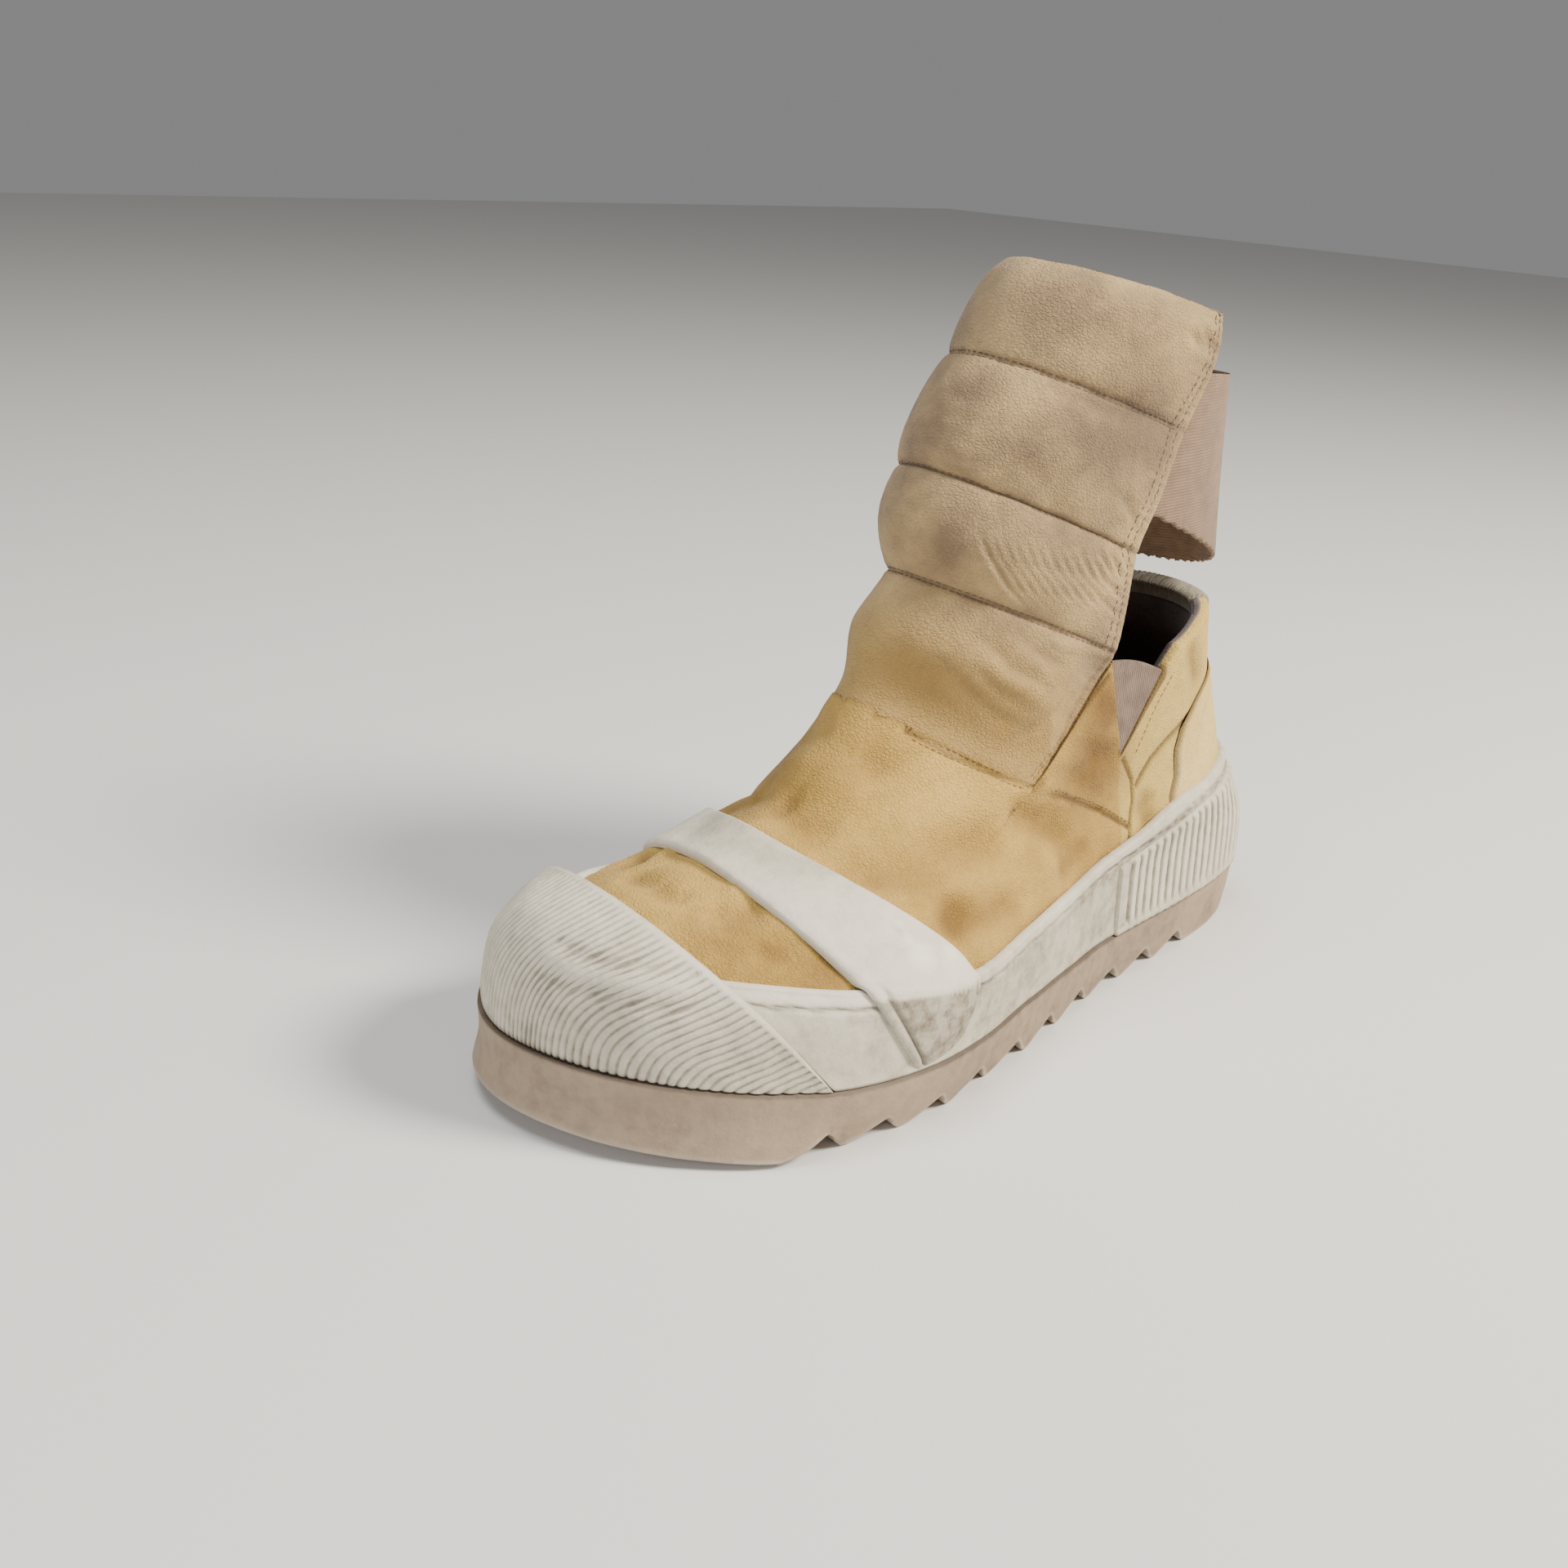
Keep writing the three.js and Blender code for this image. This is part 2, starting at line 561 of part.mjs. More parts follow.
// Ribbed patch round the heel, over the foxing
const PATCH_FRONT = 0.322;
const PATCH_DROP = 9.5;
function heelPatch() {
  const reach = (Math.acos(1 - 2 * PATCH_FRONT) / Math.PI) * SIDE_STEPS;
  const length = 2 * PATCH_FRONT * LENGTH + 0.45 * BALL_HALF;
  const ribs = Math.round(length / HEEL_RIB_PITCH);
  const seat = grown(2 * GAP + FOXING);
  const outer = [[], [], []];
  const inner = [[], [], []];
  for (let c = 0; c <= 2 * ribs; c++) {
    const j = -reach + (reach * c) / ribs;
    const edge = c < 2 || c > 2 * ribs - 2;
    const crest = c % 2 === 1 || edge;
    const base = between(seat, 1, j);
    const low = soleTop(base.x) + 2 * GAP;
    const high = foxingTop(base.x / LENGTH) * INSTEP_HEIGHT - PATCH_DROP;
    [low, (low + high) / 2, high].forEach((z, i) => {
      const level = levelAt(seat, z, j);
      const point = between(seat, level, j);
      const normal = between(NORMALS, level, j).normalize();
      normal.setZ(0);
      point.z = z;
      inner[i].push(point.clone().addScaledVector(normal, GAP));
      outer[i].push(point.clone().addScaledVector(normal, crest ? PATCH : PATCH - RIB_DEPTH));
    });
  }
  return sheet(outer, inner);
}

// Toe cap: ribs run from its slanted rear edge over the toe down to the outsole
const CAP_ROWS = 6;
const CAP_HEART = 8;           // height of the hollow's middle over the outsole
const CAP_INSET = 1.4;         // of the cap's foot from the outsole's edge
function capArch() {
  const [lx, lz] = place(CAP_LOW);
  const [hx, hz] = place(CAP_HIGH);
  const share = lx / LENGTH;
  const half = outlineHalf(share) - CAP_INSET;
  const points = [];
  for (let i = 0; i <= 96; i++) {
    const angle = (Math.PI * i) / 96;
    const up = Math.abs(Math.sin(angle)) ** 0.96;
    const side = Math.sign(Math.cos(angle)) * Math.abs(Math.cos(angle)) ** 0.96;
    const x = lx + (hx - lx) * up;
    const centre = BALL_HALF * (outlineCentre(x / LENGTH) * (1 - up) + TOE_RIDGE * up);
    points.push(new THREE.Vector3(x, centre + half * side, lz + (hz - lz) * up));
  }
  points.forEach((p) => p.setZ(Math.max(p.z, soleTop(p.x) + CAP_FOOT_GAP)));
  return new THREE.CatmullRomCurve3(points);
}

function capFoot() {
  const share = place(CAP_LOW)[0] / LENGTH;
  const points = [];
  const steps = 96;
  const start = Math.acos(1 - 2 * share) / Math.PI;
  for (let i = 0; i <= steps; i++) {
    const t = start + (2 * (1 - start) * i) / steps;
    const s = t <= 1 ? t : 2 - t;
    const at = (1 - Math.cos(Math.PI * s)) / 2;
    const half = Math.max(outlineHalf(at) - CAP_INSET, 0);
    const x = at * LENGTH - CAP_INSET * smooth((at - 0.9) / 0.1);
    const y = BALL_HALF * outlineCentre(at) + (t <= 1 ? 1 : -1) * half;
    points.push(new THREE.Vector3(x, y, soleTop(x) + CAP_FOOT_GAP));
  }
  return new THREE.CatmullRomCurve3(points);
}

function toeCap() {
  const arch = capArch();
  const foot = capFoot();
  const ribs = Math.round(arch.getLength() / RIB_PITCH);
  const columns = 2 * ribs;
  const rear = arch.getSpacedPoints(columns);
  const low = foot.getSpacedPoints(columns);
  low[0].copy(rear[0]);
  low[columns].copy(rear[columns]);
  const grid = [];
  for (let i = 0; i <= CAP_ROWS; i++) grid.push([]);
  for (let c = 0; c <= columns; c++) {
    const up = Math.sin((Math.PI * c) / columns);
    const side = c < ribs ? 1 : -1;
    const chord = rear[c].distanceTo(low[c]);
    const flat = 1 - smooth((up - 0.35) / 0.65);
    const forward = new THREE.Vector3(0.9, -side * 0.42 * flat, -0.25 - 0.42 * flat).normalize();
    const out = new THREE.Vector3(low[c].x - LENGTH * 0.8, low[c].y, 0).normalize();
    const first = rear[c].clone().addScaledVector(forward, chord * 0.5);
    const second = low[c].clone().addScaledVector(new THREE.Vector3(0, 0, 1), chord * 0.52 * (0.35 + 0.65 * up))
      .addScaledVector(out, 0.3 * up);
    const line = new THREE.CubicBezierCurve3(rear[c], first, second, low[c]);
    for (let i = 0; i <= CAP_ROWS; i++) grid[i].push(line.getPoint(i / CAP_ROWS));
  }
  const crowned = grid.map((row, i) => row.map((p, c) => {
    const groove = c % 2 === 0 && c > 1 && c < columns - 1;
    if (!groove || i === 0) return p;
    const before = row[c - 1];
    const after = row[c + 1];
    const along = grid[Math.min(i + 1, CAP_ROWS)][c].clone().sub(grid[i - 1][c]);
    const normal = after.clone().sub(before).cross(along).normalize();
    return p.clone().addScaledVector(normal, RIB_DEPTH);
  }));
  const [lx, lz] = place(CAP_LOW);
  const [hx, hz] = place(CAP_HIGH);
  const heart = new THREE.Vector3(
    lx + (CAP_HEART * (hx - lx)) / (hz - lz), BALL_HALF * outlineCentre(CAP_LOW.x), lz + CAP_HEART);
  const list = [];
  for (let c = 0; c < columns; c++) {
    for (let i = 0; i < CAP_ROWS; i++) {
      quad(list, crowned[i][c], crowned[i][c + 1], crowned[i + 1][c + 1], crowned[i + 1][c]);
    }
    list.push([crowned[0][c], heart, crowned[0][c + 1]]);
    list.push([crowned[CAP_ROWS][c], crowned[CAP_ROWS][c + 1], heart]);
  }
  return geometryFrom(solid(geometryOf(list)).subtract(grownBody(GAP, UNDER)));
}

// Leather counter round the heel, from the curved seam back
const COUNTER_SEAM = [
  { x: 0.155, z: 0.92 }, { x: 0.205, z: 0.79 }, { x: 0.212, z: 0.66 }, { x: 0.225, z: 0.56 },
  { x: 0.245, z: 0.51 },
];
const COUNTER_TOP = [{ x: 0.13, z: 1.0 }, { x: -0.0949367, z: 1.02 }];
const COUNTER = 1.1;
function heelCounter() {
  const low = raised(FOXING_TOP, GAP * 1.5).filter(([x]) => x < COUNTER_SEAM[4].x * LENGTH);
  const top = raised(COUNTER_TOP, 0);
  const outline = [
    [-CLEAR, low[0][1]],
    ...low,
    ...raised(COUNTER_SEAM, 0).reverse(),
    top[0],
    [-CLEAR, top[0][1] + ((top[1][1] - top[0][1]) * (top[0][0] + CLEAR)) / (top[0][0] - top[1][0])],
  ];
  const shell = solid(wallOfRings(grown(GAP + COUNTER), grown(GAP)));
  return geometryFrom(shell.intersect(across(outline)));
}

// Ribbed tape bound over the collar at the heel
const TAPE = 1.3;
const TAPE_WIDTH = 30;
const TAPE_DEPTH = 6;
function heelTape() {
  const top = collarLine();
  const line = (lift) => top.slice(1).map(([x, z]) => [x, z + lift]);
  const back = (lift) => [-CLEAR, collarPlace(COLLAR_BACK)[1] + lift];
  const outline = [...line(-TAPE_DEPTH), back(-TAPE_DEPTH), back(TAPE), ...line(TAPE).reverse()];
  const shell = (grow) => solid(wallOfRings(grown(grow), grown((point) => -wallAt(point) - grow)));
  const rim = shell(GAP).subtract(openingCutter(GAP));
  const tape = shell(GAP + TAPE).intersect(across(outline.reverse(), -TAPE_WIDTH / 2, TAPE_WIDTH / 2));
  return geometryFrom(tape.subtract(rim));
}

// A height from the floor to the tongue's top: 0 to 1 is a share of the instep
// height, and 1 to 2 goes on from there to the tongue's height
const rise = (share) => INSTEP_HEIGHT * Math.min(share, 1)
  + (TONGUE_HEIGHT - INSTEP_HEIGHT) * Math.max(share - 1, 0);

// Padded tongue: rows from the seam on the instep to its top edge. Edge and front
// places are shares of the length and half widths of half the tongue's width.
const TONGUE = [
  { at: 0.0, edgeX: 0.462, edgeZ: 0.75586, frontX: 0.617, frontZ: 1.00473, half: 1.13, centre: -0.09, point: 1.3 },
  { at: 0.125, edgeX: 0.41, edgeZ: 0.93114, frontX: 0.578, frontZ: 1.15374, half: 1.02, centre: -0.05, point: 1.1 },
  { at: 0.25, edgeX: 0.356, edgeZ: 1.09303, frontX: 0.551, frontZ: 1.2862, half: 0.98, centre: 0, point: 1 },
  { at: 0.375, edgeX: 0.349, edgeZ: 1.20893, frontX: 0.557, frontZ: 1.41498, half: 0.98, centre: 0, point: 0.95 },
  { at: 0.5, edgeX: 0.343, edgeZ: 1.33771, frontX: 0.547, frontZ: 1.54008, half: 0.97, centre: 0, point: 0.95 },
  { at: 0.625, edgeX: 0.32, edgeZ: 1.47753, frontX: 0.522, frontZ: 1.66334, half: 0.99, centre: 0, point: 0.95 },
  { at: 0.75, edgeX: 0.297, edgeZ: 1.62286, frontX: 0.487, frontZ: 1.78844, half: 1.0, centre: 0, point: 0.95 },
  { at: 0.93, edgeX: 0.265, edgeZ: 1.82523, frontX: 0.435, frontZ: 1.94849, half: 1.03, centre: 0, point: 1 },
  { at: 1.0, edgeX: 0.262, edgeZ: 1.89882, frontX: 0.413, frontZ: 2.0, half: 1.0, centre: 0, point: 1.1 },
].map((row) => ({ ...row, edgeZ: rise(row.edgeZ), frontZ: rise(row.frontZ) }));
const CHANNELS = 4;
const CHANNEL_STEPS = 4;
const TONGUE_COLUMNS = 16;
const tongueCurve = Object.fromEntries(['edgeX', 'edgeZ', 'frontX', 'frontZ', 'half', 'centre', 'point']
  .map((name) => [name, curve(TONGUE, 'at', name)]));

function tonguePoint(v, u) {
  const angle = (u - 0.5) * Math.PI;
  const at = Object.fromEntries(Object.entries(tongueCurve).map(([name, f]) => [name, f(v)]));
  const round = Math.max(Math.cos(angle), 0) ** at.point;
  const half = (TONGUE_WIDTH / 2) * at.half;
  return new THREE.Vector3(
    LENGTH * (at.edgeX + (at.frontX - at.edgeX) * round),
    (TONGUE_WIDTH / 2) * at.centre - half * Math.sin(angle),
    at.edgeZ + (at.frontZ - at.edgeZ) * round);
}

function tongueGrid(offset) {
  const rows = CHANNELS * CHANNEL_STEPS;
  const grid = [];
  const step = 0.004;
  for (let i = 0; i <= rows; i++) {
    const v = i / rows;
    const row = [];
    for (let c = 0; c <= TONGUE_COLUMNS; c++) {
      const u = (1 - Math.cos((Math.PI * c) / TONGUE_COLUMNS)) / 4 + c / TONGUE_COLUMNS / 2;
      const point = tonguePoint(v, u);
      const up = tonguePoint(Math.min(v + step, 1), u).sub(tonguePoint(Math.max(v - step, 0), u));
      const along = tonguePoint(v, Math.min(u + step, 1)).sub(tonguePoint(v, Math.max(u - step, 0)));
      const normal = up.cross(along).normalize();
      row.push(point.addScaledVector(normal, offset(v, u)));
    }
    grid.push(row);
  }
  return grid;
}

function tongue() {
  const outer = tongueGrid((v, u) => {
    const swell = Math.abs(Math.sin(Math.PI * v * CHANNELS)) ** 0.75;
    const edge = 1 - Math.abs(2 * u - 1) ** 5;
    return TONGUE_PAD * swell * edge + (v < 0.01 ? 0.6 : 0);
  });
  const inner = tongueGrid(() => -TONGUE_BACKING);
  const lift = GAP * 1.5;
  const [fx, fz] = place(SEAM_FRONT);
  const [gx, gz] = place(GUSSET_LOW);
  const [tx, tz] = place(GUSSET_TOP);
  const front = [fx + 0.4 * (fx - gx), fz + 0.4 * (fz - gz)];
  const lower = across([
    [front[0], front[1] + lift],
    [gx, gz + lift],
    [tx, tz + lift],
    [-CLEAR, tz + lift],
    [-CLEAR, -CLEAR],
    [front[0], -CLEAR],
  ].reverse());
  return geometryFrom(solid(sheet(outer, inner)).subtract(lower));
}

// Elastic band round the ankle, held inside the tongue's two edges
const ELASTIC = {
  front: { lowX: 0.37, lowZ: 1.42969, highX: 0.295, highZ: 1.76636 },
  back: { lowX: 0.118, lowZ: 1.22733, highX: 0.145, highZ: 1.72405 },
};
const INNER_SIDE_DROP = 7;
const BAND_STEPS = 20;
const BAND_ROWS = 3;
function elasticPoint(turn, up, grow) {
  const { front, back } = ELASTIC;
  const half = TONGUE_WIDTH / 2 * 0.97 - TONGUE_BACKING - 2 * GAP - ELASTIC_THICKNESS + grow;
  const mix = (a, b) => a + (b - a) * up;
  const fx = LENGTH * mix(front.lowX, front.highX);
  const bx = LENGTH * mix(back.lowX, back.highX) - grow;
  const fz = mix(rise(front.lowZ), rise(front.highZ));
  const bz = mix(rise(back.lowZ), rise(back.highZ));
  const angle = turn * Math.PI;
  const bend = Math.sin(angle) ** 0.85;
  const drop = INNER_SIDE_DROP * (1 - up) * smooth(turn);
  return new THREE.Vector3(
    fx + (bx - fx) * bend,
    half * Math.cos(angle),
    fz + (bz - fz) * bend - drop);
}

function ankleStrap() {
  const grid = (grow) => {
    const rows = [];
    for (let i = 0; i <= BAND_ROWS; i++) {
      const row = [];
      for (let c = 0; c <= BAND_STEPS; c++) {
        row.push(elasticPoint(c / BAND_STEPS, i / BAND_ROWS, grow));
      }
      rows.push(row);
    }
    return rows;
  };
  return sheet(grid(0), grid(ELASTIC_THICKNESS));
}

// Folded leather tab at the back of the elastic
const TAB = { thickness: 3, proud: 11, height: 22, level: 0.62 };
function strapTab() {
  const back = elasticPoint(0.5, TAB.level, ELASTIC_THICKNESS);
  const above = elasticPoint(0.5, 1, ELASTIC_THICKNESS).sub(elasticPoint(0.5, 0, ELASTIC_THICKNESS));
  const half = TAB.height / 2;
  const corner = TAB.proud * 0.45;
  const shape = new THREE.Shape();
  shape.moveTo(GAP, -half);
  shape.lineTo(TAB.proud - corner, -half * 0.9);
  shape.quadraticCurveTo(TAB.proud, -half * 0.9, TAB.proud, -half * 0.9 + corner);
  shape.lineTo(TAB.proud, half * 0.75 - corner);
  shape.quadraticCurveTo(TAB.proud, half * 0.75, TAB.proud - corner, half * 0.8);
  shape.lineTo(GAP, half);
  const geometry = new THREE.ExtrudeGeometry(shape, {
    depth: TAB.thickness, bevelEnabled: false, curveSegments: 4,
  });
  geometry.translate(0, 0, -TAB.thickness / 2);
  geometry.rotateX(Math.PI / 2);
  geometry.rotateZ(Math.PI);
  geometry.rotateY(Math.atan2(above.x, above.z));
  geometry.translate(back.x, back.y, back.z);
  return geometryFrom(solid(geometry));
}

const colours = {
  outsole: 0xbca78f,
  rubber: 0xc9c6bd,
  nubuck: 0xc79e5e,
  quarter: 0xd2b27c,
  pad: 0xb09a7e,
  elastic: 0xa98c6d,
  gore: 0x94806f,
  lining: 0x4a4042,
};

function mesh(name, geometry, colour, roughness) {
  const material = new THREE.MeshStandardMaterial({ color: colour, roughness, metalness: 0 });
  const item = new THREE.Mesh(geometry, material);
  item.name = name;
  return item;
}

const shoe = new THREE.Group();
shoe.add(mesh('outsole', outsole(), colours.outsole, 0.8));
shoe.add(mesh('insole', insole(), colours.lining, 0.9));
shoe.add(mesh('upper', upper(), colours.nubuck, 0.85));
shoe.add(mesh('gore_outer', goreSheet(1), colours.gore, 0.95));
shoe.add(mesh('gore_inner', goreSheet(-1), colours.gore, 0.95));
shoe.add(mesh('heel_counter', heelCounter(), colours.quarter, 0.85));
shoe.add(mesh('heel_tape', heelTape(), colours.gore, 0.95));
shoe.add(mesh('tongue', tongue(), colours.pad, 0.75));
shoe.add(mesh('foxing', foxing(), colours.rubber, 0.7));
shoe.add(mesh('toe_cap', toeCap(), colours.rubber, 0.7));
shoe.add(mesh('strap', strap(), colours.rubber, 0.7));
shoe.add(mesh('heel_patch', heelPatch(), colours.rubber, 0.7));
shoe.add(mesh('ankle_strap', ankleStrap(), colours.elastic, 0.95));
shoe.add(mesh('strap_tab', strapTab(), colours.quarter, 0.8));

// The origin is under the middle of the shoe, on the floor
const box = new THREE.Box3().setFromObject(shoe);
shoe.position.set(-(box.min.x + box.max.x) / 2, -(box.min.y + box.max.y) / 2, -box.min.z);
const group = new THREE.Group();
group.add(shoe);

export default group;
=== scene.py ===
import bmesh
import bpy
import numpy as np
from mathutils import Matrix, Vector
from mathutils.bvhtree import BVHTree


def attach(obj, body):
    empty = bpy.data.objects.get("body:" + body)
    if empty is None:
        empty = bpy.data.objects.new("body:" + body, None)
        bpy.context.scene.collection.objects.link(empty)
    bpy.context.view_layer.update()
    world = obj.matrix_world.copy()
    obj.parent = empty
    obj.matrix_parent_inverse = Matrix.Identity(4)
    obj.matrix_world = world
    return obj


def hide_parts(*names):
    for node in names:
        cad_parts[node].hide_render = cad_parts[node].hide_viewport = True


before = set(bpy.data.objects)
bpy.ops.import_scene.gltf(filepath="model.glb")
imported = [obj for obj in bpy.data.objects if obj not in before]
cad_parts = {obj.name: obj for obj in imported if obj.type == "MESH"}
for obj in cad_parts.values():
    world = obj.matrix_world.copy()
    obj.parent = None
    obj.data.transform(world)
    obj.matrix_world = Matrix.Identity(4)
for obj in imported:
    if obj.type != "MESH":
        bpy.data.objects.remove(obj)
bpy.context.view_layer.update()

# Camera
# The shoe is seen from its outer side and from above, a little rolled, with the toe
# nearest. The picture is square and FOCAL is in its own picture elements.
SHOE_ORIGIN = np.array([158.09, 4.85, 0.0])     # of the frame, from the heel's back point
PICTURE = 1920
FOCAL = 2111.9
EYE = (np.array([543.70, 369.78, 278.83]) - SHOE_ORIGIN) / 1000
RIGHT = np.array([-0.7664, 0.6398, 0.0569])
UP = np.array([-0.1925, -0.3133, 0.9300])
AHEAD = np.array([-0.6128, -0.7018, -0.3633])

camera = bpy.data.objects.new("camera", bpy.data.cameras.new("camera"))
bpy.context.collection.objects.link(camera)
camera.data.sensor_width = 36
camera.data.lens = FOCAL / PICTURE * 36
camera.data.clip_start = 0.02
turned = Matrix([RIGHT, UP, -AHEAD]).transposed().to_4x4()
camera.matrix_world = Matrix.Translation(Vector(EYE)) @ turned
bpy.context.scene.camera = camera


def trace(line, tree):
    """A line drawn in the picture, laid on a surface."""
    laid = []
    for across, down in line:
        ray = AHEAD + RIGHT * (across - PICTURE / 2) / FOCAL - UP * (down - PICTURE / 2) / FOCAL
        hit = tree.ray_cast(Vector(EYE), Vector(ray).normalized())[0]
        if hit is not None:
            laid.append(np.array(hit))
    return np.array(laid)


# Upper
# One lasted shell of nubuck leather with a fabric lining, pulled over the last and
# cemented to the sole. It is cut from a vamp and quarters joined by stitched seams,
# padded at the collar, and worn into soft folds over the ball of the foot.
LENGTH = 316
BALL_HALF = 62.5
GAP = 0.3
FOXING = 3.6
WALL = 2.2
COLLAR_PAD = 5.5
COLLAR_HEIGHT = 129
INSTEP_HEIGHT = 110
SOLE_THICKNESS = 20
TOE_SPRING = 6.5
HEEL_BEVEL = 3


def smooth(t):
    c = np.clip(t, 0, 1)
    return c * c * (3 - 2 * c)


def curve(x, y):
    """A smooth curve through the rows of a table that never overshoots them."""
    x = np.asarray(x, float)
    y = np.asarray(y, float)
    slope = np.diff(y) / np.diff(x)
    product = slope[:-1] * slope[1:]
    total = np.where(slope[:-1] + slope[1:] == 0, 1, slope[:-1] + slope[1:])
    inner = np.where(product > 0, 2 * product / total, 0)
    tangent = np.concatenate([[slope[0]], inner, [slope[-1]]])

    def at(where):
        p = np.clip(where, x[0], x[-1])
        i = np.clip(np.searchsorted(x, p, side="right") - 1, 0, len(x) - 2)
        step = x[i + 1] - x[i]
        t = (p - x[i]) / step
        rise = y[i + 1] - y[i]
        a = step * tangent[i] - rise
        b = -step * tangent[i + 1] + rise
        return y[i] + t * rise + t * (1 - t) * (a * (1 - t) + b * t)

    return at


# Plan of the outsole: share of the length, centre line, half width
OUTLINE = np.array([
    (0.0, 0.0, 0.0), (0.012, 0.0, 0.28), (0.065, -0.01, 0.455), (0.14, -0.01, 0.55),
    (0.24, 0.0, 0.61), (0.339, 0.035, 0.65), (0.427, 0.1, 0.7), (0.506, 0.14, 0.77),
    (0.6, 0.15, 0.9), (0.689, 0.125, 0.985), (0.773, 0.08, 1.0), (0.847, 0.0, 0.94),
    (0.906, -0.055, 0.79), (0.956, -0.1, 0.56), (0.988, -0.14, 0.29), (1.0, -0.155, 0.0),
])
plan_centre = curve(OUTLINE[:, 0], OUTLINE[:, 1])
plan_square = curve(OUTLINE[:, 0], OUTLINE[:, 2] ** 2)


def plan_half(share):
    return BALL_HALF * np.sqrt(np.maximum(plan_square(share), 0))


def edge(turn):
    """The outsole's edge, seen from above: turn 0 at the heel, 1 at the toe, 2 at the heel."""
    around = np.mod(turn, 2)
    along = np.where(around <= 1, around, 2 - around)
    share = (1 - np.cos(np.pi * along)) / 2
    side = np.where(around <= 1, 1, -1)
    return np.stack([share * LENGTH, BALL_HALF * plan_centre(share) + side * plan_half(share)], -1)


def inset(turn, inwards):
    reach = edge(turn + 1 / 26) - edge(turn - 1 / 26)
    reach = reach / np.linalg.norm(reach, axis=-1, keepdims=True)
    return edge(turn) + np.stack([reach[..., 1], -reach[..., 0]], -1) * np.asarray(inwards)[..., None]


def sole_top(x):
    return (SOLE_THICKNESS + TOE_SPRING * 1.05 * smooth((x / LENGTH - 0.66) / 0.4)
            + 1.2 * smooth((0.25 - x / LENGTH) / 0.25))


# Rings of the last: back and front end, then half widths at the stations
STATIONS = [0.04, 0.12, 0.25, 0.4, 0.55, 0.7, 0.82, 0.93]
RINGS = [
    (0.029, 0.43, 0.948, 0.48, [0.33, 0.495, 0.585, 0.63, 0.72, 0.765, 0.7, 0.49]),
    (0.04, 0.505, 0.91, 0.54, [0.33, 0.49, 0.58, 0.62, 0.68, 0.685, 0.58, 0.37]),
    (0.051, 0.58, 0.858, 0.58, [0.33, 0.485, 0.575, 0.61, 0.655, 0.615, 0.5, 0.3]),
    (0.065, 0.66, 0.793, 0.62, [0.33, 0.485, 0.575, 0.61, 0.65, 0.585, 0.45, 0.265]),
    (0.08, 0.735, 0.7255, 0.7, [0.33, 0.485, 0.575, 0.605, 0.655, 0.58, 0.44, 0.255]),
    (0.094, 0.82, 0.666, 0.82, [0.325, 0.49, 0.575, 0.59, 0.625, 0.55, 0.42, 0.25]),
    (0.107, 0.92, 0.615, 0.98, [0.325, 0.485, 0.575, 0.575, 0.58, 0.515, 0.395, 0.235]),
    (0.118, 1.03, 0.59, 1.12, [0.325, 0.49, 0.58, 0.57, 0.555, 0.5, 0.385, 0.225]),
]
LAST_INSET = FOXING + 0.9


def last_rings(turn):
    """The last's ten rings at each turn, lowest first."""
    around = np.mod(turn, 2)
    along = np.where(around <= 1, around, 2 - around)
    side = np.where(around <= 1, 1, -1)
    share = (1 - np.cos(np.pi * along)) / 2
    low = inset(turn, np.full(turn.shape, LAST_INSET))
    rings = [np.stack([low[..., 0], low[..., 1], sole_top(low[..., 0]) + GAP], -1)]
    near = inset(turn, np.full(turn.shape, LAST_INSET + 1))
    drawn = inset(turn, np.full(turn.shape, LAST_INSET + 4.5))
    q = near + (drawn - near) * smooth((near[..., 0] / LENGTH - 0.6) / 0.2)[..., None]
    part = np.clip((q[..., 0] / LENGTH - 0.017) / (0.97 - 0.017), 0, 1)
    back, front = 0.325 * COLLAR_HEIGHT, 0.39 * INSTEP_HEIGHT
    rings.append(np.stack([q[..., 0], q[..., 1], back + (front - back) * part], -1))
    for index, (back_x, back_z, front_x, front_z, widths) in enumerate(RINGS):
        square = curve([0] + STATIONS + [1], [0] + [w * w for w in widths] + [0])
        lean = smooth((index + 2) / 5)
        x = (back_x + (front_x - back_x) * share) * LENGTH
        half = BALL_HALF * np.sqrt(np.maximum(square(share), 0))
        ridge = -0.075 + 0.065 * smooth((x / LENGTH - 0.56) / 0.2)
        centre = BALL_HALF * (plan_centre(x / LENGTH) * (1 - lean) + ridge * lean)
        low_z, high_z = back_z * COLLAR_HEIGHT, front_z * INSTEP_HEIGHT
        rings.append(np.stack([x, centre + side * half, low_z + (high_z - low_z) * share], -1))
    return np.stack(rings)


def last(level, turn):
    """A point of the last in mm: level 0 at the sole, 1 above the opening."""
    rings = last_rings(turn)
    top = len(rings) - 1
    place = np.clip(level, 0, 1) * top
    i = np.minimum(place.astype(int), top - 1)
    t = (place - i)[..., None]

    def ring(k):
        return np.take_along_axis(rings, np.clip(k, 0, top)[None, ..., None], 0)[0]

    p, q, r, s = ring(i - 1), ring(i), ring(i + 1), ring(i + 2)
    return 0.5 * (2 * q + (r - p) * t + (2 * p - 5 * q + 4 * r - s) * t ** 2
                  + (3 * q - p - 3 * r + s) * t ** 3)


def last_normal(level, turn):
    up = last(np.minimum(level + 0.03, 1), turn) - last(np.maximum(level - 0.03, 0), turn)
    along = last(level, turn + 0.02) - last(level, turn - 0.02)
    out = np.cross(up, along)
    out[..., 2] *= smooth(level / 0.09)
    return out / np.maximum(np.linalg.norm(out, axis=-1, keepdims=True), 1e-9)


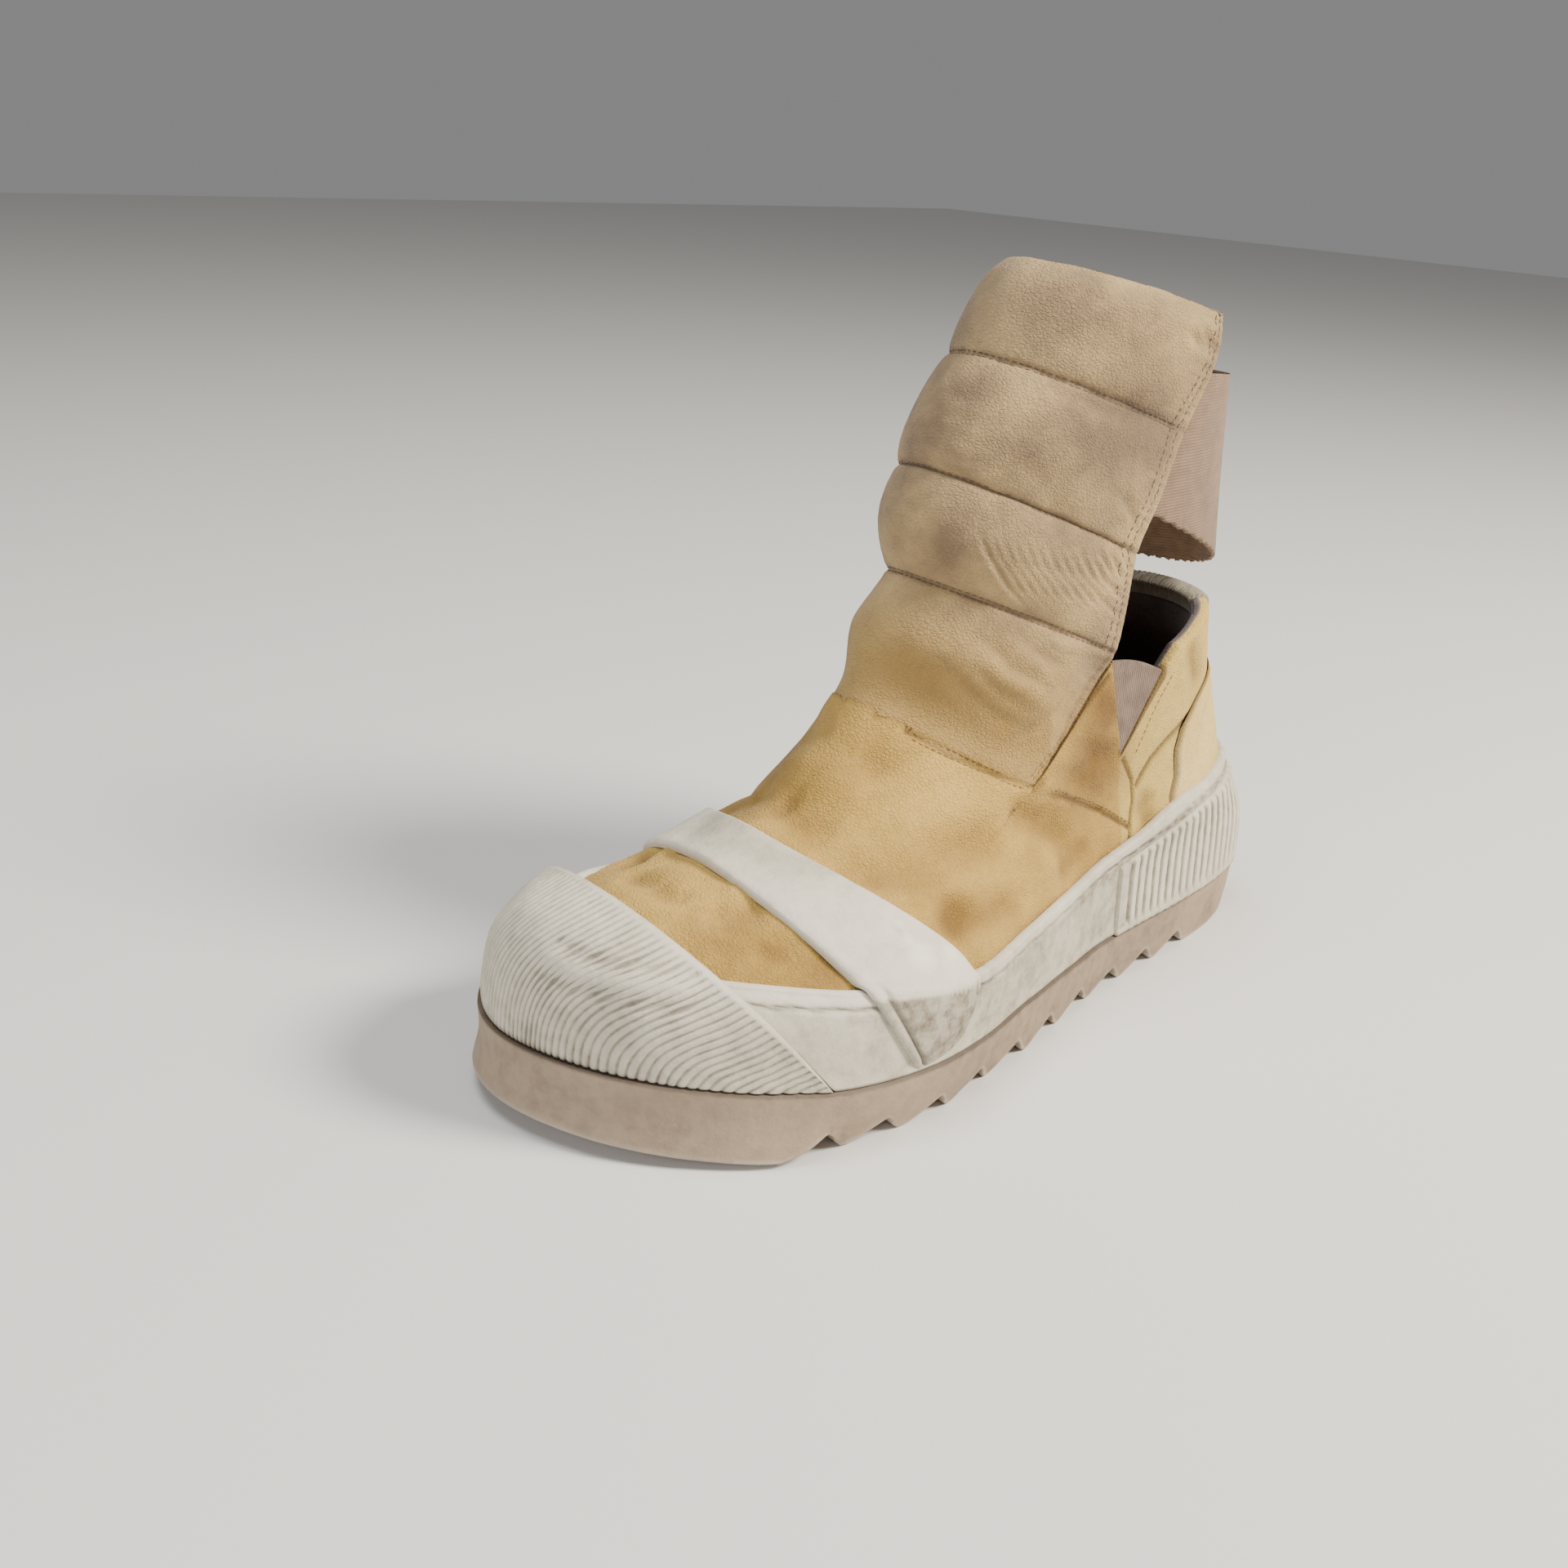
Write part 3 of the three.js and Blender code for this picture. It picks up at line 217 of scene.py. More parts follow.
def level_at(height, turn):
    """The level at which the last reaches a height."""
    low = np.zeros(turn.shape)
    high = np.ones(turn.shape)
    for _ in range(18):
        middle = (low + high) / 2
        below = last(middle, turn)[..., 2] < height
        low = np.where(below, middle, low)
        high = np.where(below, high, middle)
    return low


def skin(name, rows, columns, shape, closed_rows=False):
    """A piece bent from a flat grid: shape(across, along) gives its points in mm."""
    net = bmesh.new()
    bmesh.ops.create_grid(net, x_segments=columns, y_segments=rows, size=0.5)
    mesh = bpy.data.meshes.new(name)
    net.to_mesh(mesh)
    net.free()
    flat = np.empty(len(mesh.vertices) * 3)
    mesh.vertices.foreach_get("co", flat)
    flat = flat.reshape(-1, 3)
    along = np.round((flat[:, 0] + 0.5) * columns) / columns
    across = np.round((flat[:, 1] + 0.5) * rows) / rows
    points = (shape(across, along) - SHOE_ORIGIN) / 1000
    mesh.vertices.foreach_set("co", points.ravel())
    for label, value in (("across", across), ("along", along)):
        mesh.attributes.new(label, "FLOAT", "POINT").data.foreach_set("value", value)
    net = bmesh.new()
    net.from_mesh(mesh)
    bmesh.ops.remove_doubles(net, verts=net.verts, dist=2e-6)
    bmesh.ops.recalc_face_normals(net, faces=net.faces)
    net.to_mesh(mesh)
    net.free()
    mesh.shade_smooth()
    piece = bpy.data.objects.new(name, mesh)
    bpy.context.collection.objects.link(piece)
    return piece


def points_of(piece):
    flat = np.empty(len(piece.data.vertices) * 3)
    piece.data.vertices.foreach_get("co", flat)
    return flat.reshape(-1, 3)


def normals_of(piece):
    flat = np.empty(len(piece.data.vertices) * 3)
    piece.data.vertex_normals.foreach_get("vector", flat)
    return flat.reshape(-1, 3)


def share_of(piece, label):
    flat = np.empty(len(piece.data.vertices))
    piece.data.attributes[label].data.foreach_get("value", flat)
    return flat


def raise_by(piece, height):
    """Moves each point of a piece outwards by its height in mm."""
    points = points_of(piece) + normals_of(piece) * np.asarray(height)[:, None] / 1000
    piece.data.vertices.foreach_set("co", points.ravel())
    piece.data.update()


def tree_of(piece):
    net = bmesh.new()
    net.from_mesh(piece.data)
    tree = BVHTree.FromBMesh(net)
    net.free()
    return tree


def near(points, line):
    """Distance in mm to a line, and how far along it, 0 to 1."""
    best = np.full(len(points), 1e9)
    along = np.zeros(len(points))
    steps = np.linalg.norm(np.diff(line, axis=0), axis=1)
    total = steps.sum()
    gone = 0
    for a, b, step in zip(line[:-1], line[1:], steps):
        t = np.clip(((points - a) @ (b - a)) / max(step ** 2, 1e-12), 0, 1)
        gap = np.linalg.norm(points - a - t[:, None] * (b - a), axis=1)
        closer = gap < best
        best = np.where(closer, gap, best)
        along = np.where(closer, (gone + t * step) / total, along)
        gone += step
    return best * 1000, along


def fold(points, line, width, depth, ends=0.25):
    """A soft trough along a line, with a low ridge on each side."""
    gap, along = near(points, line)
    fade = smooth(np.minimum(along, 1 - along) / ends) if ends else 1
    dip = np.exp(-((gap / width) ** 2))
    ridge = np.exp(-(((gap - 1.9 * width) / width) ** 2))
    return -depth * fade * (dip - 0.35 * ridge)


def groove(points, line, width, depth):
    """A sharp channel of even depth, as a seam pulls into leather."""
    gap, _ = near(points, line)
    return -depth * np.exp(-((gap / width) ** 2))


def spot(points, tree, place, radius):
    """A round soft patch, 1 at its middle, by its place in the picture."""
    centre = trace([place], tree)
    if not len(centre):
        return np.zeros(len(points))
    gap = np.linalg.norm(points - centre[0], axis=1) * 1000
    return np.exp(-((gap / radius) ** 2))


def spots(points, tree, value, marks):
    """The value with soft patches laid over it: place in the picture, radius in mm, power."""
    for place, radius, power in marks:
        value = np.maximum(value, power * spot(points, tree, place, radius))
    return value


def speckle(points, size, seed):
    """Slow unevenness between -1 and 1 over the given size in mm."""
    p = points * 1000 / size
    value = np.zeros(len(points))
    turn = np.random.default_rng(seed)
    for _ in range(6):
        heading = turn.normal(size=3)
        value += np.sin(p @ heading * 2.2 + turn.uniform(0, 6.28))
    return value / 6 * 1.6


# Opening of the upper in the side view: collar, gore top, gusset, seam on the instep
OPENING = np.array([
    (-0.1, 1.16), (0.117, 1.16), (0.15, 1.146), (0.19, 1.11), (0.235, 1.066), (0.257, 1.0),
    (0.318, 0.755), (0.345, 1.07), (0.462, 0.755), (0.617, 1.01), (0.7, 1.147),
])
UPPER_ROWS = (112, 8, 24)
UPPER_COLUMNS = 600

# Steps round the upper are closest at the notches and the gussets
turns = np.linspace(0, 1, 2001)
x_share = (1 - np.cos(np.pi * turns)) / 2
density = 1 + 1.8 * smooth((x_share - 0.22) / 0.05) * smooth((0.5 - x_share) / 0.05)
steps_gone = np.concatenate([[0], np.cumsum((density[1:] + density[:-1]) / 2)])


def upper_turn(along):
    half = np.interp(np.where(along <= 0.5, along * 2, 2 - along * 2), steps_gone / steps_gone[-1], turns)
    return np.where(along <= 0.5, half, 2 - half)


def open_level(turn):
    """The level at which the wall ends at the opening."""
    levels = np.linspace(0.2, 1, 161)
    result = np.ones(turn.shape)
    found = np.zeros(turn.shape, bool)
    before = None
    for value in levels:
        p = last(np.full(turn.shape, value), turn)
        over = p[:, 2] - np.interp(p[:, 0] / LENGTH, OPENING[:, 0], OPENING[:, 1]) * INSTEP_HEIGHT
        if before is not None:
            crossing = (over > 0) & ~found
            part = before / np.where(before - over == 0, -1, before - over)
            result = np.where(crossing, value - 0.005 * (1 - np.clip(part, 0, 1)), result)
            found |= crossing
        before = over
    return result


def wall_at(p):
    pad = smooth((p[:, 2] / COLLAR_HEIGHT - 0.72) / 0.16) * smooth((0.36 - p[:, 0] / LENGTH) / 0.1)
    return WALL + (COLLAR_PAD - WALL) * pad


def upper_shape(across, along):
    turn = upper_turn(along)
    outer, rim, inner = UPPER_ROWS
    rows = sum(UPPER_ROWS)
    row = across * rows
    share = np.clip(row / outer, 0, 1)
    ring = np.clip((row - outer) / rim, 0, 1)
    back = np.clip((row - outer - rim) / (inner - 1), 0, 1)
    columns, index = np.unique(turn, return_inverse=True)
    top = (open_level(columns) - 0.004)[index]
    level = np.where(row <= outer, share * top, (1 - back) * top)
    level = np.where(np.round(row) == rows, 0, level)
    p = last(level, turn)
    normal = last_normal(level, turn)
    thick = wall_at(p)
    swing = ring * np.pi
    inwards = np.where(row <= outer, 0, thick * (1 - np.cos(swing)) / 2)
    inwards = np.where(np.round(row) == rows, 0, inwards)
    up = last(np.minimum(level + 0.01, 1), turn) - last(np.maximum(level - 0.01, 0), turn)
    up /= np.maximum(np.linalg.norm(up, axis=1, keepdims=True), 1e-9)
    lift = np.where((row > outer) & (row < outer + rim), (thick - WALL) * 0.35 + 0.25, 0) * np.sin(swing)
    return p - normal * inwards[:, None] + up * lift[:, None]


upper = skin("upper_leather", sum(UPPER_ROWS), UPPER_COLUMNS, upper_shape)
upper_row = share_of(upper, "across") * sum(UPPER_ROWS)
upper_tree = tree_of(upper)


def other_side(line):
    """The same line on the inner side of the shoe, to be laid on the surface again."""
    middle = BALL_HALF * plan_centre((line[:, 0] * 1000 + SHOE_ORIGIN[0]) / LENGTH) * 0.5 - 2.5
    flipped = line.copy()
    flipped[:, 1] = 2 * (middle - SHOE_ORIGIN[1]) / 1000 - line[:, 1]
    return np.array([np.array(upper_tree.find_nearest(Vector(p))[0]) for p in flipped])


# Seams, by their places in the picture
INSTEP_SEAM = [(1034, 853), (1070, 868), (1110, 894), (1164, 923), (1217, 948), (1264, 963),
               (1306, 977), (1347, 992), (1382, 1013)]
GUSSET_SEAM = [(1358, 828), (1330, 862), (1302, 903), (1277, 943), (1265, 961)]
QUARTER_SEAM = [(1376, 930), (1386, 955), (1387, 979), (1383, 1010), (1380, 1034)]
GORE_REAR = [(1436, 826), (1412, 872), (1389, 925)]
PANEL_EDGE = [(1489, 820), (1458, 872), (1430, 905), (1409, 930), (1392, 961)]
COUNTER_SEAM = [(1490, 845), (1472, 872), (1452, 903), (1448, 926), (1452, 952), (1440, 988),
                (1423, 1013)]
seams = [(INSTEP_SEAM, 0.9, 1.0), (GUSSET_SEAM, 0.9, 0.7), (QUARTER_SEAM, 0.8, 1.0),
         (PANEL_EDGE, 1.1, 0.8), (COUNTER_SEAM, 0.8, 1.2)]

# Soft folds of the vamp and quarter: line, width, depth
FOLDS = [
    ([(985, 1052), (1032, 1068), (1074, 1076), (1128, 1068), (1150, 1052), (1196, 1036),
      (1250, 1044)], 6, 1.7),
    ([(1225, 985), (1252, 998), (1288, 1016), (1318, 1038)], 5, 1.6),
    ([(938, 930), (955, 970), (985, 1004), (1030, 1030)], 7, 1.3),
    ([(1052, 905), (1064, 930), (1090, 960)], 6, 0.9),
    ([(1130, 1112), (1165, 1122), (1200, 1122), (1262, 1090)], 6, 1.0),
    ([(1160, 1160), (1168, 1120), (1160, 1085)], 6, 0.9),
    ([(1290, 1075), (1320, 1045), (1345, 1020)], 5, 0.9),
    ([(1320, 905), (1345, 925), (1372, 935)], 4, 0.9),
    ([(1290, 955), (1325, 948), (1352, 925)], 4, 0.8),
    ([(860, 1108), (889, 1121), (943, 1116)], 5, 1.3),
    ([(797, 1079), (820, 1095), (850, 1100)], 4, 1.0),
    ([(915, 1158), (945, 1165), (985, 1175)], 5, 1.0),
    ([(1410, 960), (1402, 990), (1408, 1015)], 5, 0.6),
    ([(1446, 780), (1462, 812), (1468, 840)], 4, 0.6),
]
at = points_of(upper)
height = np.zeros(len(at))
dark = np.zeros(len(at))
for line, width, depth in seams:
    laid = trace(line, upper_tree)
    for one in (laid, other_side(laid)):
        height += groove(at, one, width, depth)
        dark = np.maximum(dark, np.exp(-((near(at, one)[0] / (width * 1.25)) ** 2)))
shade = np.zeros(len(at))
# Each fold also gets painted shade along its trough
for line, width, depth in FOLDS:
    laid = trace(line, upper_tree)
    for one in (laid, other_side(laid)):
        height += fold(at, one, width, 1.45 * depth)
        gap, along = near(at, one)
        shade += 0.6 * np.exp(-((gap / (width * 1.1)) ** 2)) * smooth(np.minimum(along, 1 - along) / 0.3)
# The counter's leather lies over the quarter, and the quarter over the gusset panel
quarter = smooth((100.2 - (at[:, 0] * 1000 + SHOE_ORIGIN[0])) / 1.2)
height += 0.5 * speckle(at, 24, 3) * 0.5 + 0.16 * speckle(at, 9, 5)
# The lining follows the folds of the leather
carry = np.clip(1 - 2 * (upper_row - UPPER_ROWS[0]) / UPPER_ROWS[1], -1, 1)
raise_by(upper, height * carry)
upper_tree = tree_of(upper)


def paint(piece, label, **channels):
    """Stores up to three masks of a piece for its material."""
    colour = np.ones((len(piece.data.vertices), 4))
    for index, name in enumerate(("red", "green", "blue")):
        colour[:, index] = np.clip(channels.get(name, 0), 0, 1)
    layer = piece.data.color_attributes.new(label, "FLOAT_COLOR", "POINT")
    layer.data.foreach_set("color", colour.ravel())


# Painted highlights on the vamp where it faces the light
light = np.zeros(len(at))
for place, radius in (((1130, 1000), 26), ((1010, 880), 20), ((1190, 985), 16), ((1120, 1180), 16),
                      ((860, 1090), 12)):
    light = np.maximum(light, 0.8 * spot(at, upper_tree, place, radius))
# Darker patches: painted shade on the vamp's left side and over its folds, and the gusset panel's darker
# leather
shade = spots(at, upper_tree, shade, [
    ((1130, 1062), 16, 0.4), ((1262, 1008), 10, 0.2), ((1056, 935), 18, 0.35), ((890, 1150), 18, 0.55),
    ((960, 985), 16, 0.4), ((1010, 1195), 14, 0.7), ((1155, 1150), 12, 0.15), ((985, 905), 28, 0.9),
    ((915, 985), 20, 0.6), ((1335, 930), 20, 1.0), ((1355, 870), 14, 1.0), ((1355, 975), 10, 0.5),
    ((1310, 1000), 14, 0.3), ((880, 1075), 14, 0.3),
])
x_mm = at[:, 0] * 1000 + SHOE_ORIGIN[0]
bound = smooth((upper_row - UPPER_ROWS[0] + 5) / 2) * (upper_row < UPPER_ROWS[0] + 7)
bound = bound * smooth((x_mm - 79) / 2) * smooth((100.5 - x_mm) / 1)
dark = np.maximum(dark, bound)
sewn_rim = smooth((upper_row - UPPER_ROWS[0] + 1) / 2) * (upper_row < UPPER_ROWS[0] + 9)
sewn_rim = sewn_rim * smooth((x_mm - 108) / 3)
dark = np.maximum(dark, 0.9 * sewn_rim)
# Masks: red darkens seams and bound edges, green is painted shade with the gusset's darker leather, blue is
# painted highlight
paint(upper, "tone", red=dark, green=np.clip(shade, 0, 1), blue=light)
paint(upper, "panel", red=quarter, green=smooth((upper_row - UPPER_ROWS[0] - 3) / 2))


def linear(code):
    """An sRGB hex value as the linear colour that a shader takes."""
    parts = [int(code[i:i + 2], 16) / 255 for i in (0, 2, 4)]
    return tuple(c / 12.92 if c <= 0.04045 else ((c + 0.055) / 1.055) ** 2.4 for c in parts) + (1,)


def add(tree, kind, links=None, **settings):
    """Adds a shader node; links gives each input a socket or a value."""
    item = tree.nodes.new("ShaderNode" + kind)
    for name, value in settings.items():
        setattr(item, name, value)
    for socket, value in (links or {}).items():
        if isinstance(value, bpy.types.NodeSocket):
            tree.links.new(value, item.inputs[socket])
        else:
            item.inputs[socket].default_value = value
    return item


def finish(name):
    """A new material with its surface shader and the piece's own coordinates in mm."""
    material = bpy.data.materials.new(name)
    material.use_nodes = True
    tree = material.node_tree
    surface = tree.nodes["Principled BSDF"]
    place = add(tree, "TexCoord").outputs["Object"]
    place = add(tree, "Mapping", {"Vector": place, "Scale": (1000, 1000, 1000)}).outputs[0]
    return material, tree, surface, place


def blend(tree, factor, first, second, how="MIX"):
    mixed = add(tree, "Mix", {0: factor, 6: first, 7: second}, data_type="RGBA", blend_type=how)
    return mixed.outputs[2]


def cloudy(tree, place, size, low, high, detail=4, stretch=(1, 1, 1), rough=0.55):
    """Noise of a size in mm, spread between 0 and 1 from low to high."""
    spread = add(tree, "Mapping", {"Vector": place, "Scale": tuple(s / size for s in stretch)}).outputs[0]
    noise = add(tree, "TexNoise", {"Vector": spread, "Scale": 1, "Detail": detail, "Roughness": rough})
    return add(tree, "MapRange", {0: noise.outputs[0], 1: low, 2: high}).outputs[0]


def masks(tree, label):
    stored = add(tree, "Attribute", attribute_name=label).outputs["Color"]
    return add(tree, "SeparateColor", {0: stored}).outputs


def sum_up(tree, first, second, factor, how="MULTIPLY_ADD"):
    """first × factor + second, for bump heights."""
    return add(tree, "Math", {0: first, 1: factor, 2: second}, operation=how).outputs[0]


# Nubuck: sanded leather with a short nap. It gives no gloss, a soft bright rim and a
# fine cloudy grain. The 'tone' mask's red darkens its seams, its green darkens it as painted shade and its
# blue lightens it, mostly as painted highlight.
def nubuck(name, base, deep, pale, seam, quarter=None, sheen=0.08, weight=0.5):
    material, tree, surface, place = finish(name)
    tone = masks(tree, "tone")
    large = cloudy(tree, place, 26, 0.36, 0.66, 3)
    middle = cloudy(tree, place, 6, 0.35, 0.7, 5)
    fine = cloudy(tree, place, 0.55, 0.3, 0.72, 4)
    colour = blend(tree, large, linear(base), linear(pale))
    if quarter:
        colour = blend(tree, masks(tree, "panel")[0], colour, linear(quarter))
    # Painted shade from the mask's green channel, mixed towards the deep colour
    shaded = add(tree, "Math", {0: middle, 1: 0.16, 2: tone[1]}, operation="MULTIPLY_ADD", use_clamp=True)
    painted_shade_amount = add(tree, "Math", {0: shaded.outputs[0], 1: weight}, operation="MULTIPLY").outputs[0]
    colour = blend(tree, painted_shade_amount, colour, linear(deep))
    # Painted highlight from the mask's blue channel, mixed towards the pale colour
    lit = add(tree, "Math", {0: tone[2], 1: 0.55}, operation="MULTIPLY").outputs[0]
    colour = blend(tree, lit, colour, linear(pale))
    dust = add(tree, "MapRange", {0: fine, 3: 0.86, 4: 1.1}).outputs[0]
    speck = add(tree, "CombineColor", {0: dust, 1: dust, 2: dust}).outputs[0]
    colour = blend(tree, 1.0, colour, speck, "MULTIPLY")
    colour = blend(tree, add(tree, "Math", {0: tone[0], 1: 0.8}, operation="MULTIPLY").outputs[0],
                   colour, linear(seam))
    tree.links.new(colour, surface.inputs["Base Color"])
    surface.inputs["Roughness"].default_value = 0.82
    surface.inputs["IOR"].default_value = 1.45
    surface.inputs["Specular IOR Level"].default_value = 0.3
    surface.inputs["Sheen Weight"].default_value = sheen
    surface.inputs["Sheen Roughness"].default_value = 0.5
    grain = sum_up(tree, cloudy(tree, place, 0.8, 0.25, 0.8, 4), cloudy(tree, place, 3.2, 0.2, 0.8, 3), 0.6)
    crease = add(tree, "TexVoronoi", {"Vector": add(tree, "Mapping", {
        "Vector": place, "Scale": (0.75, 0.5, 0.9)}).outputs[0], "Scale": 1.0, "Randomness": 1.0},
        feature="DISTANCE_TO_EDGE").outputs["Distance"]
    crease = add(tree, "MapRange", {0: crease, 1: 0.0, 2: 0.22}).outputs[0]
    grain = sum_up(tree, crease, 0.22, grain)
    bump = add(tree, "Bump", {"Height": grain, "Distance": 0.00035, "Strength": 0.7})
    tree.links.new(bump.outputs[0], surface.inputs["Normal"])
    return material


def dress(piece, *materials):
    piece.data.materials.clear()
    for material in materials:
        piece.data.materials.append(material)


def face_rows(piece, label="across"):
    """The mean share of each face, to give parts of a piece another material."""
    value = share_of(piece, label)
    return np.array([value[list(face.vertices)].mean() for face in piece.data.polygons])


def assign(piece, index_of_face):
    piece.data.polygons.foreach_set("material_index", np.asarray(index_of_face, int))
    piece.data.update()


# Lining: a dark brushed knit over thin foam, glued inside the shell, greyer on the rim
def brushed_lining():
    material, tree, surface, place = finish("brushed knit lining")
    rim = masks(tree, "panel")[1]
    weave = add(tree, "TexVoronoi", {"Vector": place, "Scale": 1.1}, feature="F1").outputs["Distance"]
    colour = blend(tree, cloudy(tree, place, 9, 0.3, 0.7), linear("3F3231"), linear("564640"))
    colour = blend(tree, add(tree, "Math", {0: rim, 1: -1, 2: 1}, operation="MULTIPLY_ADD").outputs[0],
                   colour, linear("9A8F84"))
    tree.links.new(colour, surface.inputs["Base Color"])
    surface.inputs["Roughness"].default_value = 0.95
    surface.inputs["Sheen Weight"].default_value = 0.15
    bump = add(tree, "Bump", {"Height": weave, "Distance": 0.00025, "Strength": 0.6})
    tree.links.new(bump.outputs[0], surface.inputs["Normal"])
    return material


golden = nubuck("golden nubuck", "B18F45", "654518", "CCA85A", "4A3419", quarter="CEB062", weight=0.85)
lining = brushed_lining()
dress(upper, golden, lining)
assign(upper, face_rows(upper) * sum(UPPER_ROWS) > UPPER_ROWS[0] + 4)
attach(upper, "root")
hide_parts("upper")

# Counter
# A second layer of leather moulded round the heel. Its front edge is a soft S, sewn
# down close to the edge, and it stands a little proud of the quarter.
def counter_shape(across, along):
    rows, columns = COUNTER_SIZE
    row = across * rows
    lap = np.minimum(np.minimum(along, 1 - along) * columns / 3, np.minimum(row, rows - row) / 3)
    height = 51 + (105 - 51) * across
    seam_x = np.interp(height, [53, 60, 69, 79, 86, 95, 104, 112], [78, 71, 66, 67.5, 65.5, 56, 44, 36])
    low = np.interp(seam_x * 0.9, [-16, 9.5, 44, 98], [68.2, 66.5, 62.1, 52.3])
    height = np.maximum(height, low)
    reach = np.zeros(height.shape)
    top = np.full(height.shape, 0.45)
    for _ in range(14):
        middle = (reach + top) / 2
        x = last(level_at(height, middle), middle)[:, 0]
        reach = np.where(x < seam_x, middle, reach)
        top = np.where(x < seam_x, top, middle)
    turn = (along * 2 - 1) * reach
    level = level_at(height, turn)
    out = 0.35 + 0.95 * smooth(lap)
    out = out + 0.25 * np.cos(turn * 30) * np.cos(height / 9)
    return last(level, turn) + last_normal(level, turn) * out[:, None]


COUNTER_SIZE = (46, 130)
counter = skin("heel_counter_leather", *COUNTER_SIZE, counter_shape)
pale_leather = nubuck("pale nubuck", "D6B566", "94733A", "E2C884", "4A3419")
rim = share_of(counter, "along")
at = points_of(counter)
rows = share_of(counter, "across")
# Darker towards its foot and in random patches; lighter towards its top as painted highlight
shade = np.clip(0.3 * smooth((0.1 - rows) / 0.1) + 0.25 * (speckle(at, 14, 9) > 0.5), 0, 1)
edge_line = smooth((0.025 - np.minimum(rim, 1 - rim)) / 0.02)
paint(counter, "tone", red=edge_line, green=shade, blue=0.3 * smooth(rows))
dress(counter, pale_leather)
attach(counter, "root")
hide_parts("heel_counter")


# Gores: knitted elastic set into a notch on each side, its rear edge bound
def knit(name, base, deep, stripe, size, across_axis=(0, 0, 1)):
    material, tree, surface, place = finish(name)
    ribs = add(tree, "TexWave", {"Vector": add(tree, "Mapping", {
        "Vector": place, "Scale": tuple(a / size for a in across_axis)}).outputs[0], "Scale": 0.16,
        "Distortion": 0.6, "Detail": 2, "Detail Scale": 3}, wave_type="BANDS", bands_direction=stripe)
    rib = ribs.outputs["Fac"]
    mottled = cloudy(tree, place, 5, 0.35, 0.7)
    colour = blend(tree, mottled, linear(base), linear(deep))
    darker = add(tree, "Math", {0: rib, 1: -0.35, 2: 0.35}, operation="MULTIPLY_ADD").outputs[0]
    colour = blend(tree, darker, colour, linear("5E4A38"))
    tree.links.new(colour, surface.inputs["Base Color"])
    surface.inputs["Roughness"].default_value = 0.92
    surface.inputs["Sheen Weight"].default_value = 0.2
    fuzz = sum_up(tree, cloudy(tree, place, 0.5, 0.3, 0.7), rib, 0.5)
    bump = add(tree, "Bump", {"Height": fuzz, "Distance": 0.0004, "Strength": 0.8})
    tree.links.new(bump.outputs[0], surface.inputs["Normal"])
    return material


GUSSET_TOP = (0.345 * LENGTH, 1.07 * INSTEP_HEIGHT)
COLLAR_FRONT = (0.257 * LENGTH, 1.005 * INSTEP_HEIGHT)
GORE_TIP = (0.318 * LENGTH, 0.755 * INSTEP_HEIGHT)


def on_last(x, z, side):
    """Level and turn of the last's point at a place in the side view."""
    low = np.zeros(x.shape)
    high = np.ones(x.shape)
    for _ in range(13):
        middle = (low + high) / 2
        ahead = last(level_at(z, middle), middle)[..., 0] > x
        high = np.where(ahead, middle, high)
        low = np.where(ahead, low, middle)
    return level_at(z, low), np.where(side > 0, low, 2 - low)


def gore_shape(side):
    def shape(across, along):
        # across runs up from the notch's point, over the top edge and down the back
        up = np.clip(across / 0.55, 0, 1)
        back = np.clip((across - 0.6) / 0.4, 0, 1)
        up = np.where(across > 0.6, 1 - back, up)
        swing = np.clip((across - 0.55) / 0.05, 0, 1) * np.pi
        front_x = GORE_TIP[0] + (GUSSET_TOP[0] - 0.6 - GORE_TIP[0]) * up
        rear_x = GORE_TIP[0] - 0.4 + (COLLAR_FRONT[0] + 0.5 - GORE_TIP[0]) * up
        front_z = GORE_TIP[1] + (GUSSET_TOP[1] - GORE_TIP[1]) * up
        rear_z = GORE_TIP[1] + (COLLAR_FRONT[1] - GORE_TIP[1]) * up
        x = front_x + (rear_x - front_x) * along
        z = front_z + (rear_z - front_z) * along + 1.5 * np.sin(along * np.pi) * up - 0.8
        level, turn = on_last(x, z, np.full(x.shape, side))
        deep = np.where(across > 0.55, 0.7 + 1.6 * (1 - np.cos(swing)) / 2, 0.7)
        p = last(level, turn) - last_normal(level, turn) * deep[:, None]
        p[:, 2] += 0.7 * np.sin(swing)
        return p
    return shape


gore_knit = knit("knitted gore", "8A7462", "705B4D", "X", 0.38, (1, 1, 0))
for name, side in (("gore_outer", 1), ("gore_inner", -1)):
    gore = skin(name + "_knit", 90, 40, gore_shape(side))
    dress(gore, gore_knit)
    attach(gore, "root")
    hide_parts(name)

# Heel tape
# A narrow ribbed tape folded over the collar's rim at the heel and sewn through it.
TAPE_RIBS = 24


